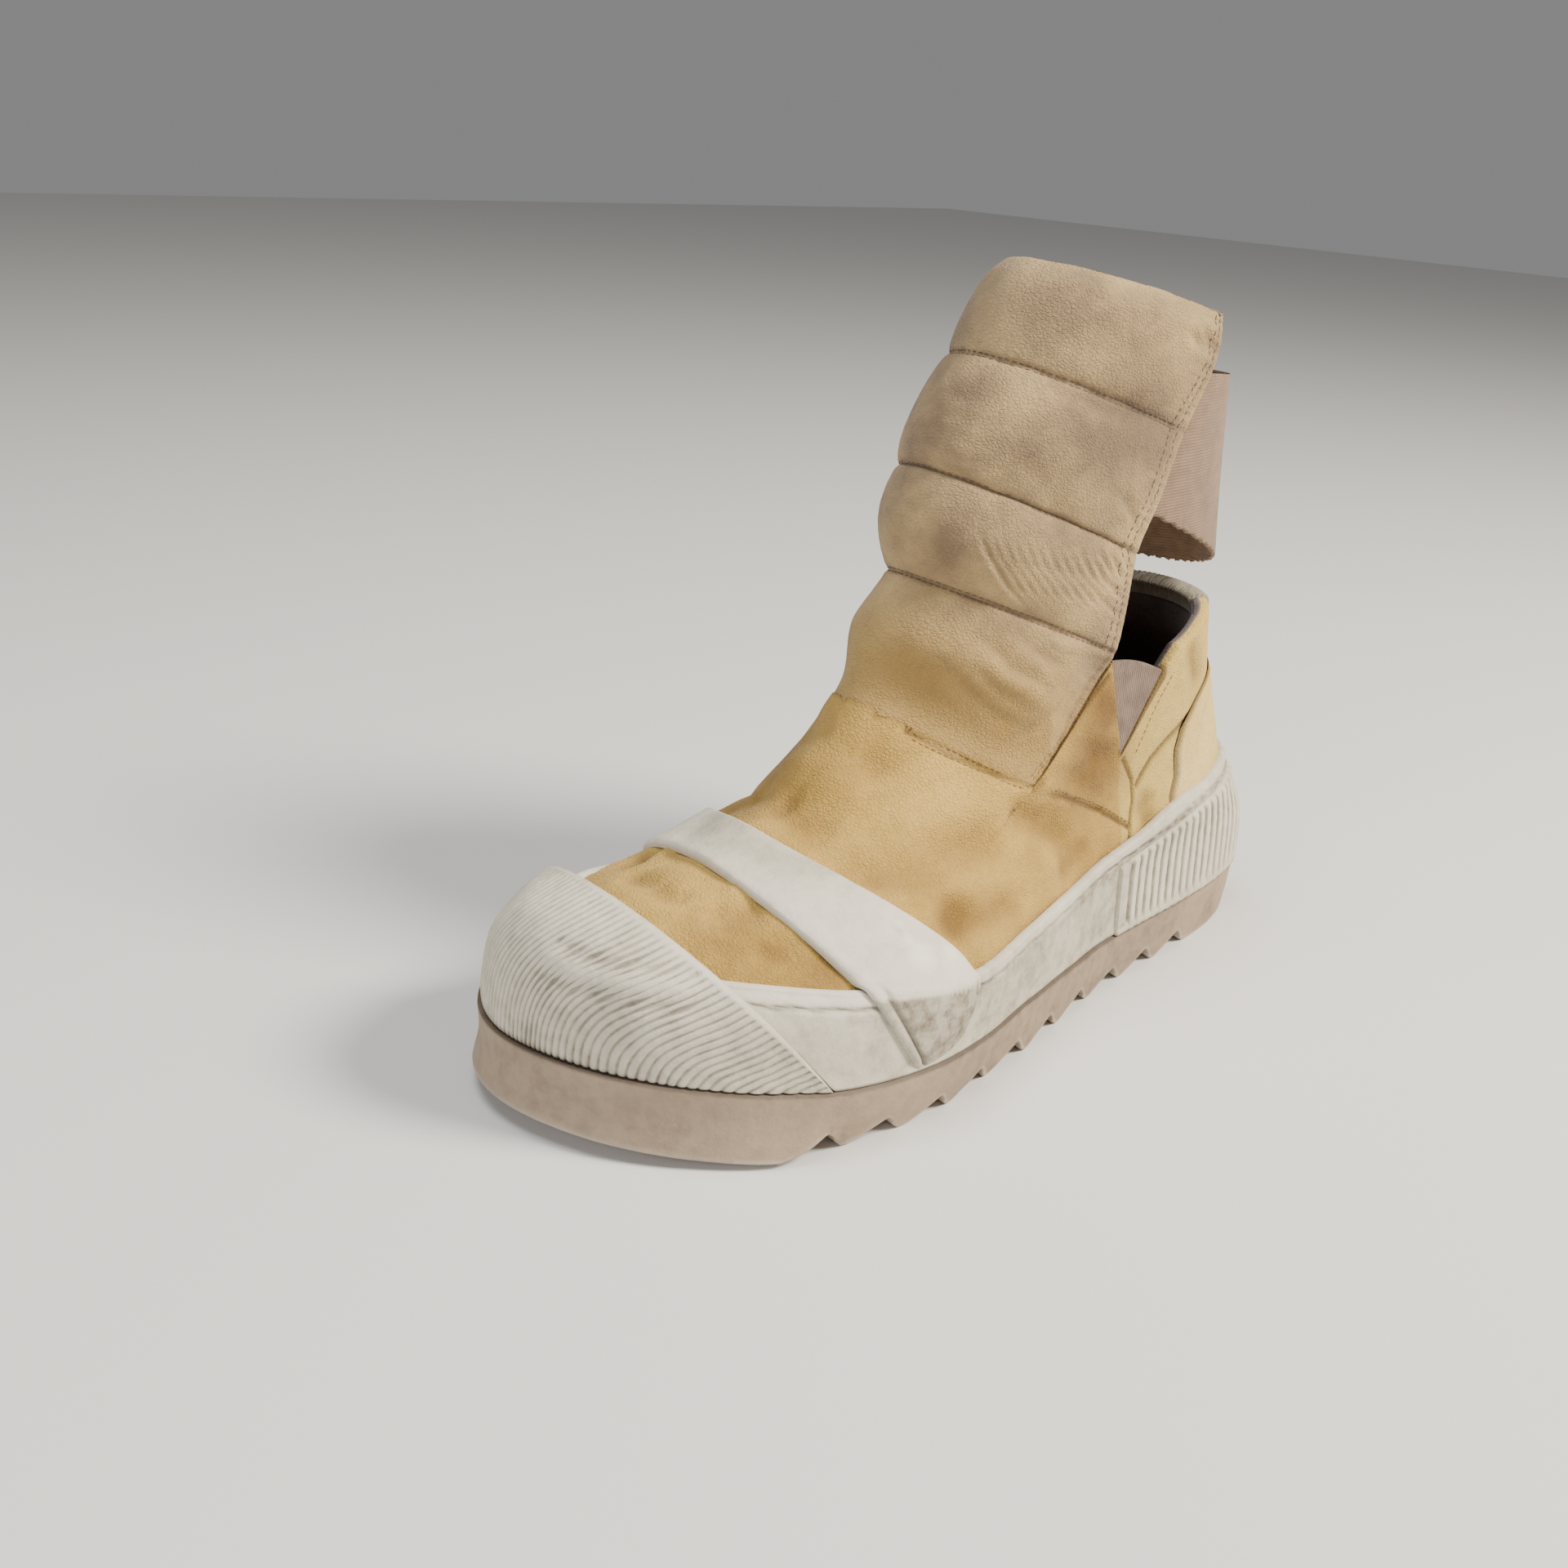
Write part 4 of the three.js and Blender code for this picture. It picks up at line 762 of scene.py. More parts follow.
def tape_shape(across, along):
    outer, rim = UPPER_ROWS[:2]
    row = outer - 6 + across * (6 + rim + 0.7)
    reach = 0.139
    turn = (along * 2 - 1) * reach
    rows = sum(UPPER_ROWS)

    def on_rim(rows_on, turn_on):
        around = np.mod(turn + turn_on, 2)
        half = np.interp(np.where(around <= 1, around, 2 - around), turns, steps_gone / steps_gone[-1]) / 2
        return upper_shape((row + rows_on) / rows, np.where(around <= 1, half, 1 - half))

    here = on_rim(0, 0)
    up = on_rim(0.6, 0) - on_rim(-0.6, 0)
    over = on_rim(0, 0.004) - on_rim(0, -0.004)
    out = np.cross(up, over)
    out /= np.maximum(np.linalg.norm(out, axis=1, keepdims=True), 1e-9)
    rib = np.abs(np.sin(along * np.pi * TAPE_RIBS)) ** 0.6
    end = smooth(np.minimum(np.minimum(along, 1 - along) * 40, np.minimum(across, 1 - across) * 9))
    return here + out * (0.1 + end * (0.55 + 0.55 * rib))[:, None]


tape = skin("heel_tape_ribbed", 50, 384, tape_shape)
dress(tape, knit("ribbed tape", "A39A84", "857B69", "Y", 0.6, (0, 1, 0)))
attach(tape, "root")
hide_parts("heel_tape")

# Tongue
# A tall padded panel of soft leather, quilted by three seams into four channels and
# sewn to the instep, its edges turned and double stitched. It bends round the shin.
TONGUE_HEIGHT = 241
TONGUE_HALF = 36.5
BACKING = 3.4
TONGUE = np.array([
    # share, edge x, edge z, front x, front z, half width, centre, roundness
    (0.0, 0.462, 0.345, 0.617, 0.459, 1.13, -0.09, 1.3),
    (0.125, 0.41, 0.425, 0.578, 0.54, 1.02, -0.05, 1.1),
    (0.25, 0.356, 0.507, 0.551, 0.612, 0.98, 0, 1),
    (0.375, 0.349, 0.57, 0.557, 0.682, 0.98, 0, 0.95),
    (0.5, 0.343, 0.64, 0.547, 0.75, 0.97, 0, 0.95),
    (0.625, 0.32, 0.716, 0.522, 0.817, 0.99, 0, 0.95),
    (0.75, 0.297, 0.795, 0.487, 0.885, 1.0, 0, 0.95),
    (0.93, 0.265, 0.905, 0.435, 0.972, 1.03, 0, 1),
    (1.0, 0.262, 0.945, 0.413, 1.0, 1.0, 0, 1.1),
])
tongue_row = [curve(TONGUE[:, 0], TONGUE[:, k]) for k in range(1, 8)]


def tongue_point(v, u):
    edge_x, edge_z, front_x, front_z, half, centre, bend = [f(v) for f in tongue_row]
    swing = (u - 0.5) * np.pi
    way = np.maximum(np.cos(swing), 0) ** bend
    return np.stack([LENGTH * (edge_x + (front_x - edge_x) * way),
                     TONGUE_HALF * (centre - half * np.sin(swing)),
                     TONGUE_HEIGHT * (edge_z + (front_z - edge_z) * way)], -1)


def last_net():
    """The whole last as a surface to lay things on."""
    levels, around = np.linspace(0, 1, 60), np.linspace(0, 2, 361)
    points = [last(np.full(around.shape, level), around) for level in levels]
    corners = [tuple(p) for ring in points for p in ring]
    quads = [(i * 361 + j, i * 361 + j + 1, (i + 1) * 361 + j + 1, (i + 1) * 361 + j)
             for i in range(59) for j in range(360)]
    return BVHTree.FromPolygons(corners, quads)


last_tree = last_net()


def on_the_last(points, deep):
    """The nearest points of the last, a distance below its surface."""
    laid = np.empty(points.shape)
    for i, p in enumerate(points):
        place, normal = last_tree.find_nearest(Vector(p))[:2]
        out = np.array(normal) * (1 if normal.dot(Vector((0, place.y, place.z - 60))) > 0 else -1)
        laid[i] = np.array(place) - out * deep[i]
    return laid


TONGUE_FOOT = 0.035


def tongue_shape(across, along):
    # along runs round the panel: its front from 0 to 0.5, its back from 0.5 to 1
    front = along <= 0.5
    u = np.where(front, along * 2, 2 - along * 2)
    u = np.clip((1 - np.cos(np.pi * u)) / 4 + u / 2, 0, 1)
    whole = across * (1.03 + TONGUE_FOOT) - TONGUE_FOOT
    v = np.clip(whole, 0, 1)
    under = np.clip(-whole / TONGUE_FOOT, 0, 1)
    last_rows = np.clip((whole - 1) / 0.03, 0, 1)
    d = 0.004
    inner_u = np.clip(u, 0.02, 0.98)
    up = tongue_point(np.minimum(v + d, 1), inner_u) - tongue_point(np.maximum(v - d, 0), inner_u)
    over = tongue_point(v, inner_u + d) - tongue_point(v, inner_u - d)
    normal = np.cross(up, over)
    normal /= np.linalg.norm(normal, axis=1, keepdims=True)
    side = np.abs(2 * u - 1)
    swell = np.abs(np.sin(np.pi * v * 4)) ** 0.52
    bulge = np.interp(v, [0, 0.08, 0.2, 0.3, 0.5, 0.75, 0.95, 1], [0.3, 0.65, 0.85, 1, 0.95, 0.85, 0.9, 0.6])
    full = 3.5 * bulge * swell * (1 - side ** 7) ** 0.7
    body = 1.5 * (1 - side ** 14) ** 0.5 + 0.1
    rim = np.sqrt(np.maximum(1 - last_rows ** 2, 0))
    thick = np.where(front, full * (0.25 + 0.75 * rim) + body * rim, -body * rim)
    p = tongue_point(v, u) + normal * (thick - 1.2)[:, None]
    # the foot goes on under the vamp and its lower sides under the gussets
    down = tongue_point(np.zeros(v.shape), u) - tongue_point(np.full(v.shape, 0.03), u)
    p = p + down * (1.1 * under)[:, None]
    sunk = 1 - smooth((v - 0.02) / 0.12)
    sides = (1 - smooth((0.5 - np.abs(u - 0.5)) / 0.1)) * (1 - smooth((v - 0.19) / 0.07))
    weight = np.maximum(sunk, sides)
    aside = np.stack([np.full(u.shape, -1.0), np.zeros(u.shape), np.full(u.shape, -0.45)], -1)
    p = p + aside * (3.2 * sides * (1 - under))[:, None]
    at = weight > 0
    deep = 0.55 + 0.9 * under + 0.5 * sides + np.where(front, 0, 1.0)
    laid = on_the_last(p[at], deep[at])
    p[at] = p[at] + (laid - p[at]) * weight[at, None]
    return p


tongue = skin("padded_tongue", 215, 420, tongue_shape)
tongue_tree = tree_of(tongue)
at = points_of(tongue)
v = share_of(tongue, "across") * (1.03 + TONGUE_FOOT) - TONGUE_FOOT
u = share_of(tongue, "along")
face = u <= 0.5
across_u = np.where(face, u * 2, 2 - u * 2)
height = np.zeros(len(at))
shade = np.zeros(len(at))
light = np.zeros(len(at))
# Seams between the channels, a little wavy with the pull of the thread
seam_line = np.zeros(len(at))
for k in (1, 2, 3):
    away = (v - k / 4 + 0.0015 * np.sin(across_u * 70 + k)) * 165
    seam_line = np.maximum(seam_line, np.exp(-((away / 0.8) ** 2)))
    pucker = np.exp(-((away / 6) ** 2)) * np.sin(across_u * (190 + 23 * k) + 3 * np.sin(across_u * 19 + k))
    height += 0.12 * pucker * face * smooth((speckle(at, 30, 80 + k) + 0.4))
height -= 0.5 * seam_line * face
# Fine stretch wrinkles run down and outwards over the third channel, with painted shade in their troughs and
# painted highlights along their sides
for k in range(15):
    start = np.array([470 + 40 * k, 1015 + 9 * k])
    line = [start, start + (45 + 2 * k, 120), start + (120 + 3 * k, 245 - 3 * k), start + (215, 350 - 8 * k)]
    drawn = [(1040 + x / 3.016, 300 + y / 3.016) for x, y in line if x < 1040]
    laid = trace(drawn, tongue_tree)
    if len(laid) > 1:
        height += fold(at, laid, 1.15, 0.75 + 0.02 * k, 0.4)
        gap, along = near(at, laid)
        shade += 0.6 * np.exp(-((gap / 0.8) ** 2)) * smooth(np.minimum(along, 1 - along) / 0.3)
        light += 0.5 * np.exp(-(((gap - 1.6) / 0.6) ** 2)) * smooth(np.minimum(along, 1 - along) / 0.3)
# Creases of the lowest channel run down towards the gusset, with painted shade along them
for line, width, depth in (
        ([(1199, 774), (1222, 796), (1240, 818), (1289, 841)], 2.6, 0.9),
        ([(1172, 796), (1200, 822), (1230, 850), (1275, 872)], 2.8, 0.7),
        ([(1248, 769), (1262, 790), (1289, 809), (1342, 820)], 2.4, 0.8),
        ([(1150, 800), (1180, 836), (1222, 872), (1262, 890)], 3.0, 0.5),
        ([(1290, 790), (1310, 800), (1350, 812)], 1.8, 0.6),
        ([(1300, 860), (1270, 885), (1240, 900)], 3.0, 0.5),
        ([(1290, 470), (1350, 500), (1420, 505)], 4.0, 0.5),
        ([(1262, 560), (1290, 600), (1300, 650)], 5.0, 0.5),
        ([(1370, 600), (1385, 625), (1392, 640)], 2.0, 0.6),
        ([(1455, 400), (1470, 418), (1492, 426)], 2.2, 1.0),
        ([(1472, 392), (1480, 410), (1490, 420)], 1.6, 0.7)):
    laid = trace(line, tongue_tree)
    if len(laid) > 1:
        height += fold(at, laid, width, depth, 0.35)
        shade += 0.45 * np.exp(-((near(at, laid)[0] / (width * 0.55)) ** 2))
# Short gathers where the leather is pulled over the stitched edges
for low, high in ((0.0, 0.16), (0.84, 1.0)):
    zone = smooth((across_u - low) / 0.02) * smooth((high - across_u) / 0.02)
    fade = smooth((0.13 - np.minimum(across_u, 1 - across_u)) / 0.1)
    height += 0.22 * zone * fade * np.sin(v * 260 + 4 * np.sin(v * 31)) * face
height += (0.35 * speckle(at, 30, 21) + 0.18 * speckle(at, 11, 22)) * face
# Fine creases across the soft leather, strongest where it bends
drawn_in = np.sin(points_of(tongue) @ np.array([900, 500, 1500]) + 5 * speckle(at, 14, 31))
height += 0.09 * drawn_in * np.clip(speckle(at, 22, 32) + 0.2, 0, 1) * face
stitched = np.exp(-(((np.minimum(across_u, 1 - across_u) - 0.035) / 0.012) ** 2))
height -= 0.5 * stitched * face
raise_by(tongue, height)
tongue_tree = tree_of(tongue)
# Painted shade over the upper channels, growing towards the top
shade += (0.3 + 0.2 * speckle(at, 26, 33)) * smooth((v - 0.42) / 0.25) * face
# Lighter along the top edge, over the lowest channel, down the outer edge and in patches, mostly as painted
# highlight
light += 0.75 * smooth((v - 0.955) / 0.04)
light += 0.3 * smooth((0.26 - v) / 0.1) * face
light += 0.5 * smooth((across_u - 0.06) / -0.03) * smooth((v - 0.3) / 0.1) * face
light = spots(at, tongue_tree, light, [
    ((1460, 400), 12, 0.9), ((1250, 340), 22, 0.5), ((1330, 640), 12, 0.4), ((1230, 889), 6.5, 0.0),
])
golden_part = smooth((0.27 - v) / 0.2) * 0.75
golden_part = spots(at, tongue_tree, golden_part, [
    ((1230, 889), 7, 1.0), ((1262, 905), 14, 0.7),
])
top_line = 0.7 * np.exp(-(((v - 1.012) / 0.006) ** 2))
sewn = np.clip(seam_line * 0.6 + stitched * 0.25 + top_line, 0, 1) * face
paint(tongue, "tone", red=sewn, green=shade, blue=light)
paint(tongue, "panel", red=golden_part)
pad_leather = nubuck("soft pad leather", "846F54", "5A4939", "B89D6E", "4A3C3C", quarter="A5843F",
                     sheen=0.1, weight=0.6)
dress(tongue, pad_leather)
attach(tongue, "root")
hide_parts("tongue")

# Ankle band
# A wide ribbed elastic whose ends are sewn behind the tongue's edges. It stands round
# behind the ankle by its own stiffness, with a cut lower edge that frays.
BAND = {"front": (0.37, 0.715, 0.295, 0.873), "back": (0.1, 0.59, 0.142, 0.85)}


def band_point(turn, rise, grow):
    low_x, low_z, high_x, high_z = BAND["front"]
    back_x, back_z, back_high_x, back_high_z = BAND["back"]
    half = TONGUE_HALF * 0.97 - BACKING - 2 * GAP - 1.8 + grow
    fx = LENGTH * (low_x + (high_x - low_x) * rise)
    bx = LENGTH * (back_x + (back_high_x - back_x) * rise) - grow
    fz = TONGUE_HEIGHT * (low_z + (high_z - low_z) * rise)
    bz = TONGUE_HEIGHT * (back_z + (back_high_z - back_z) * rise)
    bend = np.sin(np.clip(turn, 0, 1) * np.pi) ** 0.85
    drop = 13 * (1 - rise) * smooth(turn)
    return np.stack([fx + (bx - fx) * bend, half * np.cos(turn * np.pi), fz + (bz - fz) * bend - drop], -1)


def band_shape(across, along):
    # along runs over the outer face, round the lower edge and back up the inner face
    outer = along <= 0.47
    inner = along >= 0.53
    round_edge = np.clip((along - 0.47) / 0.06, 0, 1) * np.pi
    rise = np.where(outer, 1 - along / 0.47, np.where(inner, (along - 0.53) / 0.47, 0))
    grow = np.where(outer, 1.8, np.where(inner, 0, 0.9 + 0.9 * np.cos(round_edge)))
    turn = np.clip(across, 0.002, 0.998)
    fray = 0.35 * np.sin(turn * 210) + 0.25 * np.sin(turn * 517 + 1)
    p = band_point(turn, rise, grow)
    low = smooth((0.05 - rise) / 0.05)
    p[:, 2] += fray * low - 0.7 * np.sin(round_edge) * low
    wave = 0.5 * np.sin(turn * 9 + 1) * np.sin(rise * 3 + 0.5)
    p[:, 1] += wave
    return p


band = skin("ankle_elastic", 180, 120, band_shape)
dress(band, knit("ribbed elastic", "94775A", "7F6449", "Z", 0.5, (0, 0, 1)))
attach(band, "root")
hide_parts("ankle_strap")


# Tab: a strip of leather folded double and sewn into the back of the elastic
TAB = {"thick": 3.0, "proud": 11.0, "height": 22.0, "level": 0.62}
root_of_tab = band_point(np.array([0.5]), np.array([TAB["level"]]), 1.8)[0]
low_back, high_back = [band_point(np.array([0.5]), np.array([end]), 1.8)[0] for end in (0.0, 1.0)]
rise = high_back - low_back
net = bmesh.new()
bmesh.ops.create_cube(net, size=1)
bmesh.ops.scale(net, vec=(TAB["proud"], TAB["thick"], TAB["height"] * 0.94), verts=net.verts)
bmesh.ops.translate(net, vec=(-TAB["proud"] / 2 - 0.2, 0, -0.6), verts=net.verts)
outer_edges = [e for e in net.edges if all(v.co.x < -1 for v in e.verts)
               and abs(e.verts[0].co.z - e.verts[1].co.z) < 1
               and abs(e.verts[0].co.y - e.verts[1].co.y) > 1]
bmesh.ops.bevel(net, geom=outer_edges, offset=4.4, segments=8, profile=0.5, affect="EDGES")
bmesh.ops.bevel(net, geom=[e for e in net.edges if len(e.link_faces) == 2 and e.calc_face_angle() > 1.0],
                offset=0.9, segments=4, profile=0.6, affect="EDGES")
lean = np.arctan2(rise[0], rise[2])
bmesh.ops.rotate(net, cent=(0, 0, 0), matrix=Matrix.Rotation(lean, 3, "Y"), verts=net.verts)
bmesh.ops.translate(net, vec=tuple(root_of_tab - SHOE_ORIGIN), verts=net.verts)
bmesh.ops.scale(net, vec=(0.001, 0.001, 0.001), verts=net.verts)
mesh = bpy.data.meshes.new("elastic_tab")
net.to_mesh(mesh)
net.free()
mesh.shade_smooth()
tab = bpy.data.objects.new("elastic_tab", mesh)
bpy.context.collection.objects.link(tab)
dress(tab, nubuck("tab leather", "BBA27A", "96794F", "CDB890", "6E5F52"))
paint(tab, "tone")
for layer in (tab.data.color_attributes["tone"],):
    layer.data.foreach_set("color", np.tile([0, 0, 0.3, 1], len(mesh.vertices)))
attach(tab, "root")
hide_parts("strap_tab")


# Rubber: matt off-white compound, greyed by dust; dirt settles in every groove and
# the raised edges are rubbed clean. On the outsole the darkening also carries painted shade.
def rubber(name, base, grey, dirt_and_shade_colour, pale, pores=0.5):
    material, tree, surface, place = finish(name)
    tone = masks(tree, "tone")
    large = cloudy(tree, place, 22, 0.35, 0.7, 4)
    streak = cloudy(tree, place, 5, 0.42, 0.68, 6, rough=0.65)
    fine = cloudy(tree, place, 0.9, 0.45, 0.75, 5, rough=0.7)
    colour = blend(tree, add(tree, "Math", {0: large, 1: 0.6}, operation="MULTIPLY").outputs[0],
                   linear(base), linear(grey))
    patchy = add(tree, "MapRange", {0: streak, 3: 0.42, 4: 0.78}).outputs[0]
    # The mask's green channel: dirt, and on the outsole painted shade as well
    dirt_and_shade = add(tree, "Math", {0: tone[1], 1: patchy}, operation="MULTIPLY", use_clamp=True).outputs[0]
    spread = add(tree, "Math", {0: streak, 1: 0.22, 2: dirt_and_shade}, operation="MULTIPLY_ADD",
                 use_clamp=True).outputs[0]
    colour = blend(tree, spread, colour, linear(dirt_and_shade_colour))
    flecks = add(tree, "Math", {0: fine, 1: pores * 0.35}, operation="MULTIPLY").outputs[0]
    colour = blend(tree, flecks, colour, linear(dirt_and_shade_colour))
    colour = blend(tree, tone[2], colour, linear(pale))
    colour = blend(tree, tone[0], colour, linear("4A3D31"))
    tree.links.new(colour, surface.inputs["Base Color"])
    surface.inputs["Roughness"].default_value = 0.6
    surface.inputs["IOR"].default_value = 1.52
    surface.inputs["Specular IOR Level"].default_value = 0.4
    grain = sum_up(tree, cloudy(tree, place, 0.45, 0.3, 0.8, 4), cloudy(tree, place, 2.4, 0.3, 0.75, 5), 0.35)
    bump = add(tree, "Bump", {"Height": grain, "Distance": 0.00028, "Strength": 0.55})
    tree.links.new(bump.outputs[0], surface.inputs["Normal"])
    return material


white_rubber = rubber("off-white rubber", "D2CBB7", "B3AA95", "675A48", "E6E0CF")
tan_rubber = rubber("tan sole rubber", "A8937A", "95826E", "6B5A49", "C6BCAC", pores=0.35)


def place_of(piece):
    """A piece's points in mm from the back of the heel."""
    return points_of(piece) * 1000 + SHOE_ORIGIN


# Outsole
# One moulded block of foamed rubber with a smooth toe bumper. Nine saw teeth and a
# heel block are cut straight across its underside, and their edges are worn round.
TOOTH_PITCH = 22
TOOTH_DEPTH = 6.5
TOOTH_COUNT = 9
FIRST_TOOTH = 0.7785
NOTCH = [(0, 0), (0.12, 0.35), (0.17, 0.7), (0.27, 1), (0.5, 0.62), (0.9, 0)]


def sole_bottom(x):
    return (TOE_SPRING * np.maximum(0, (x / LENGTH - 0.73) / 0.27) ** 1.4
            + HEEL_BEVEL * np.maximum(0, (0.065 - x / LENGTH) / 0.065) ** 1.5)


tooth_x = [-5.0]
tooth_z = [0.0]
for k in range(TOOTH_COUNT, -1, -1):
    tip = FIRST_TOOTH * LENGTH - k * TOOTH_PITCH
    for reach, deep in NOTCH:
        tooth_x.append(tip + reach * TOOTH_PITCH)
        tooth_z.append(deep * TOOTH_DEPTH)
fine_x = np.arange(-5, LENGTH + 5, 0.1)
teeth = np.interp(fine_x, tooth_x + [LENGTH + 10], tooth_z + [0])
blur = np.exp(-(np.arange(-6, 7) / 3.0) ** 2)
teeth = np.convolve(np.pad(teeth, 6, mode="edge"), blur / blur.sum(), mode="valid")
SOLE_ROWS = (6, 34, 5, 5)
SOLE_COLUMNS = 1300


def sole_turn(along):
    """Steps round the outline, even in mm along the side."""
    turns = np.linspace(0, 1, 801)
    way = edge(turns)
    gone = np.concatenate([[0], np.cumsum(np.linalg.norm(np.diff(way, axis=0), axis=1))])
    half = np.interp(np.where(along <= 0.5, along * 2, 2 - along * 2), gone / gone[-1], turns)
    return np.where(along <= 0.5, half, 2 - half)


def sole_shape(across, along):
    top, wall, corner, under = SOLE_ROWS
    row = across * sum(SOLE_ROWS)
    turn = sole_turn(along)
    out = inset(turn, np.full(turn.shape, -1.0)) - inset(turn, np.zeros(turn.shape))
    p = edge(turn)
    x = p[:, 0]
    flare = 1.8 * smooth((x / LENGTH - 0.78) / 0.05)
    lean = (2 + 3 * smooth((x / LENGTH - 0.5) / 0.09)) * (1 - smooth((x / LENGTH - 0.78) / 0.04))
    down = np.clip((row - top) / wall, 0, 1)
    low = sole_bottom(x) + np.interp(x, fine_x, teeth)
    high = sole_top(x)
    z = high + (low - high) * down
    full = (high - z) / (high - sole_bottom(x))
    grow = (flare - lean) * full ** 1.4
    # the bumper is drawn in a little under the toe cap, and its lower edge is rounded
    hollow = 0.9 * np.sin(np.clip(full, 0, 1) * np.pi) ** 1.3 * smooth((x / LENGTH - 0.76) / 0.06)
    turned = np.clip((row - top - wall) / corner, 0, 1)
    bend = 0.6 * (1 - np.cos(turned * np.pi / 2))
    near_edge = np.clip(1 - (z - low) / 0.6, 0, 1)
    grow = grow - hollow - 0.3 * near_edge ** 2 - np.where(row > top + wall, bend, 0)
    q = p + out * grow[:, None]
    centre = np.stack([x, BALL_HALF * plan_centre(x / LENGTH)], -1)
    inner_top = np.clip(row / top, 0, 1)
    inner_low = np.clip((row - top - wall - corner) / under, 0, 1)
    q = np.where((row < top)[:, None], centre + (q - centre) * inner_top[:, None] ** 0.6, q)
    q = centre + (q - centre) * (1 - inner_low)[:, None]
    z = np.where(row > top + wall, low, z)
    return np.column_stack([q, z])


sole = skin("outsole_rubber", sum(SOLE_ROWS), SOLE_COLUMNS, sole_shape)
at = place_of(sole)
row = share_of(sole, "across") * sum(SOLE_ROWS)
side_wall = (row >= SOLE_ROWS[0]) & (row <= SOLE_ROWS[0] + SOLE_ROWS[1])
raise_by(sole, side_wall * (0.16 * speckle(points_of(sole), 17, 31) + 0.08 * speckle(points_of(sole), 5, 32)))
low = sole_bottom(at[:, 0]) + np.interp(at[:, 0], fine_x, teeth)
over = at[:, 2] - low
worn = np.exp(-((over / 1.1) ** 2)) * (0.55 + 0.35 * (teeth.max() * 0.45 > low))
stain_and_shade = 0.55 * smooth((sole_top(at[:, 0]) - at[:, 2] - 0.2) / -1.4 + 1) + 0.25 * (over < 0.1)
# Painted shade over the middle of the sole, where the teeth are
stain_and_shade = stain_and_shade + 0.55 * smooth((215 - at[:, 0]) / 25) * smooth((at[:, 0] - 45) / 20)
sole_tree = tree_of(sole)
stain_and_shade = spots(points_of(sole), sole_tree, stain_and_shade, [
    ((1290, 1235), 4.5, 1.0), ((1478, 1115), 9, 0.8), ((650, 1330), 22, 0.5), ((800, 1400), 16, 0.35),
    ((1020, 1395), 8, 0.5),
])
seam_dark = 0.75 * np.exp(-(((sole_top(at[:, 0]) - at[:, 2]) / 0.55) ** 2))
paint(sole, "tone", red=seam_dark, green=np.clip(stain_and_shade, 0, 1), blue=worn * 0.8)
dress(sole, tan_rubber)
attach(sole, "root")
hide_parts("outsole")


# Insole: a flat foam board covered with the lining's knit, laid on the sole
def insole_shape(across, along):
    turn = along * 2
    lift = np.clip(across / 0.2, 0, 1)
    way = np.clip((across - 0.2) / 0.8, 0, 1)
    p = inset(turn, np.full(turn.shape, LAST_INSET + WALL + GAP + 1.8) + 0.6 * (lift > 0.9))
    centre = np.stack([np.clip(p[:, 0], 30, LENGTH - 40), BALL_HALF * plan_centre(p[:, 0] / LENGTH)], -1)
    p = p + (centre - p) * way[:, None]
    return np.column_stack([p, sole_top(p[:, 0]) + GAP + 4 * lift - 0.5 * smooth(way * 2)])


insole = skin("insole_board", 20, 260, insole_shape)
paint(insole, "panel", green=1)
dress(insole, lining)
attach(insole, "root")
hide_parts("insole")

# Foxing
# A moulded rubber band cemented round the upper, from one end of the toe cap round
# the heel to the other. A sewn groove runs under its rounded lip.
FOXING_TOP = np.array([(-0.05, 0.62), (0.03, 0.605), (0.14, 0.565), (0.31, 0.475), (0.45, 0.415),
                       (0.6, 0.385), (0.74, 0.42), (0.84, 0.455), (0.92, 0.475)])
CAP_LOW = np.array([0.798 * LENGTH, sole_top(0.798 * LENGTH) + 1.6 * GAP])
CAP_HIGH = np.array([0.908 * LENGTH, 0.63 * INSTEP_HEIGHT])
foxing_line = curve(FOXING_TOP[:, 0], FOXING_TOP[:, 1])
FOXING_ROWS = (54, 8, 4)
FOXING_COLUMNS = 1100


def foxing_turn(z):
    """The turn at which the band ends against the toe cap, at a height."""
    x = CAP_LOW[0] + (CAP_HIGH[0] - CAP_LOW[0]) * (z - CAP_LOW[1]) / (CAP_HIGH[1] - CAP_LOW[1]) - 0.45
    low = np.zeros(z.shape)
    high = np.ones(z.shape)
    for _ in range(16):
        middle = (low + high) / 2
        ahead = last(level_at(z, middle), middle)[..., 0] > x
        high = np.where(ahead, middle, high)
        low = np.where(ahead, low, middle)
    return low


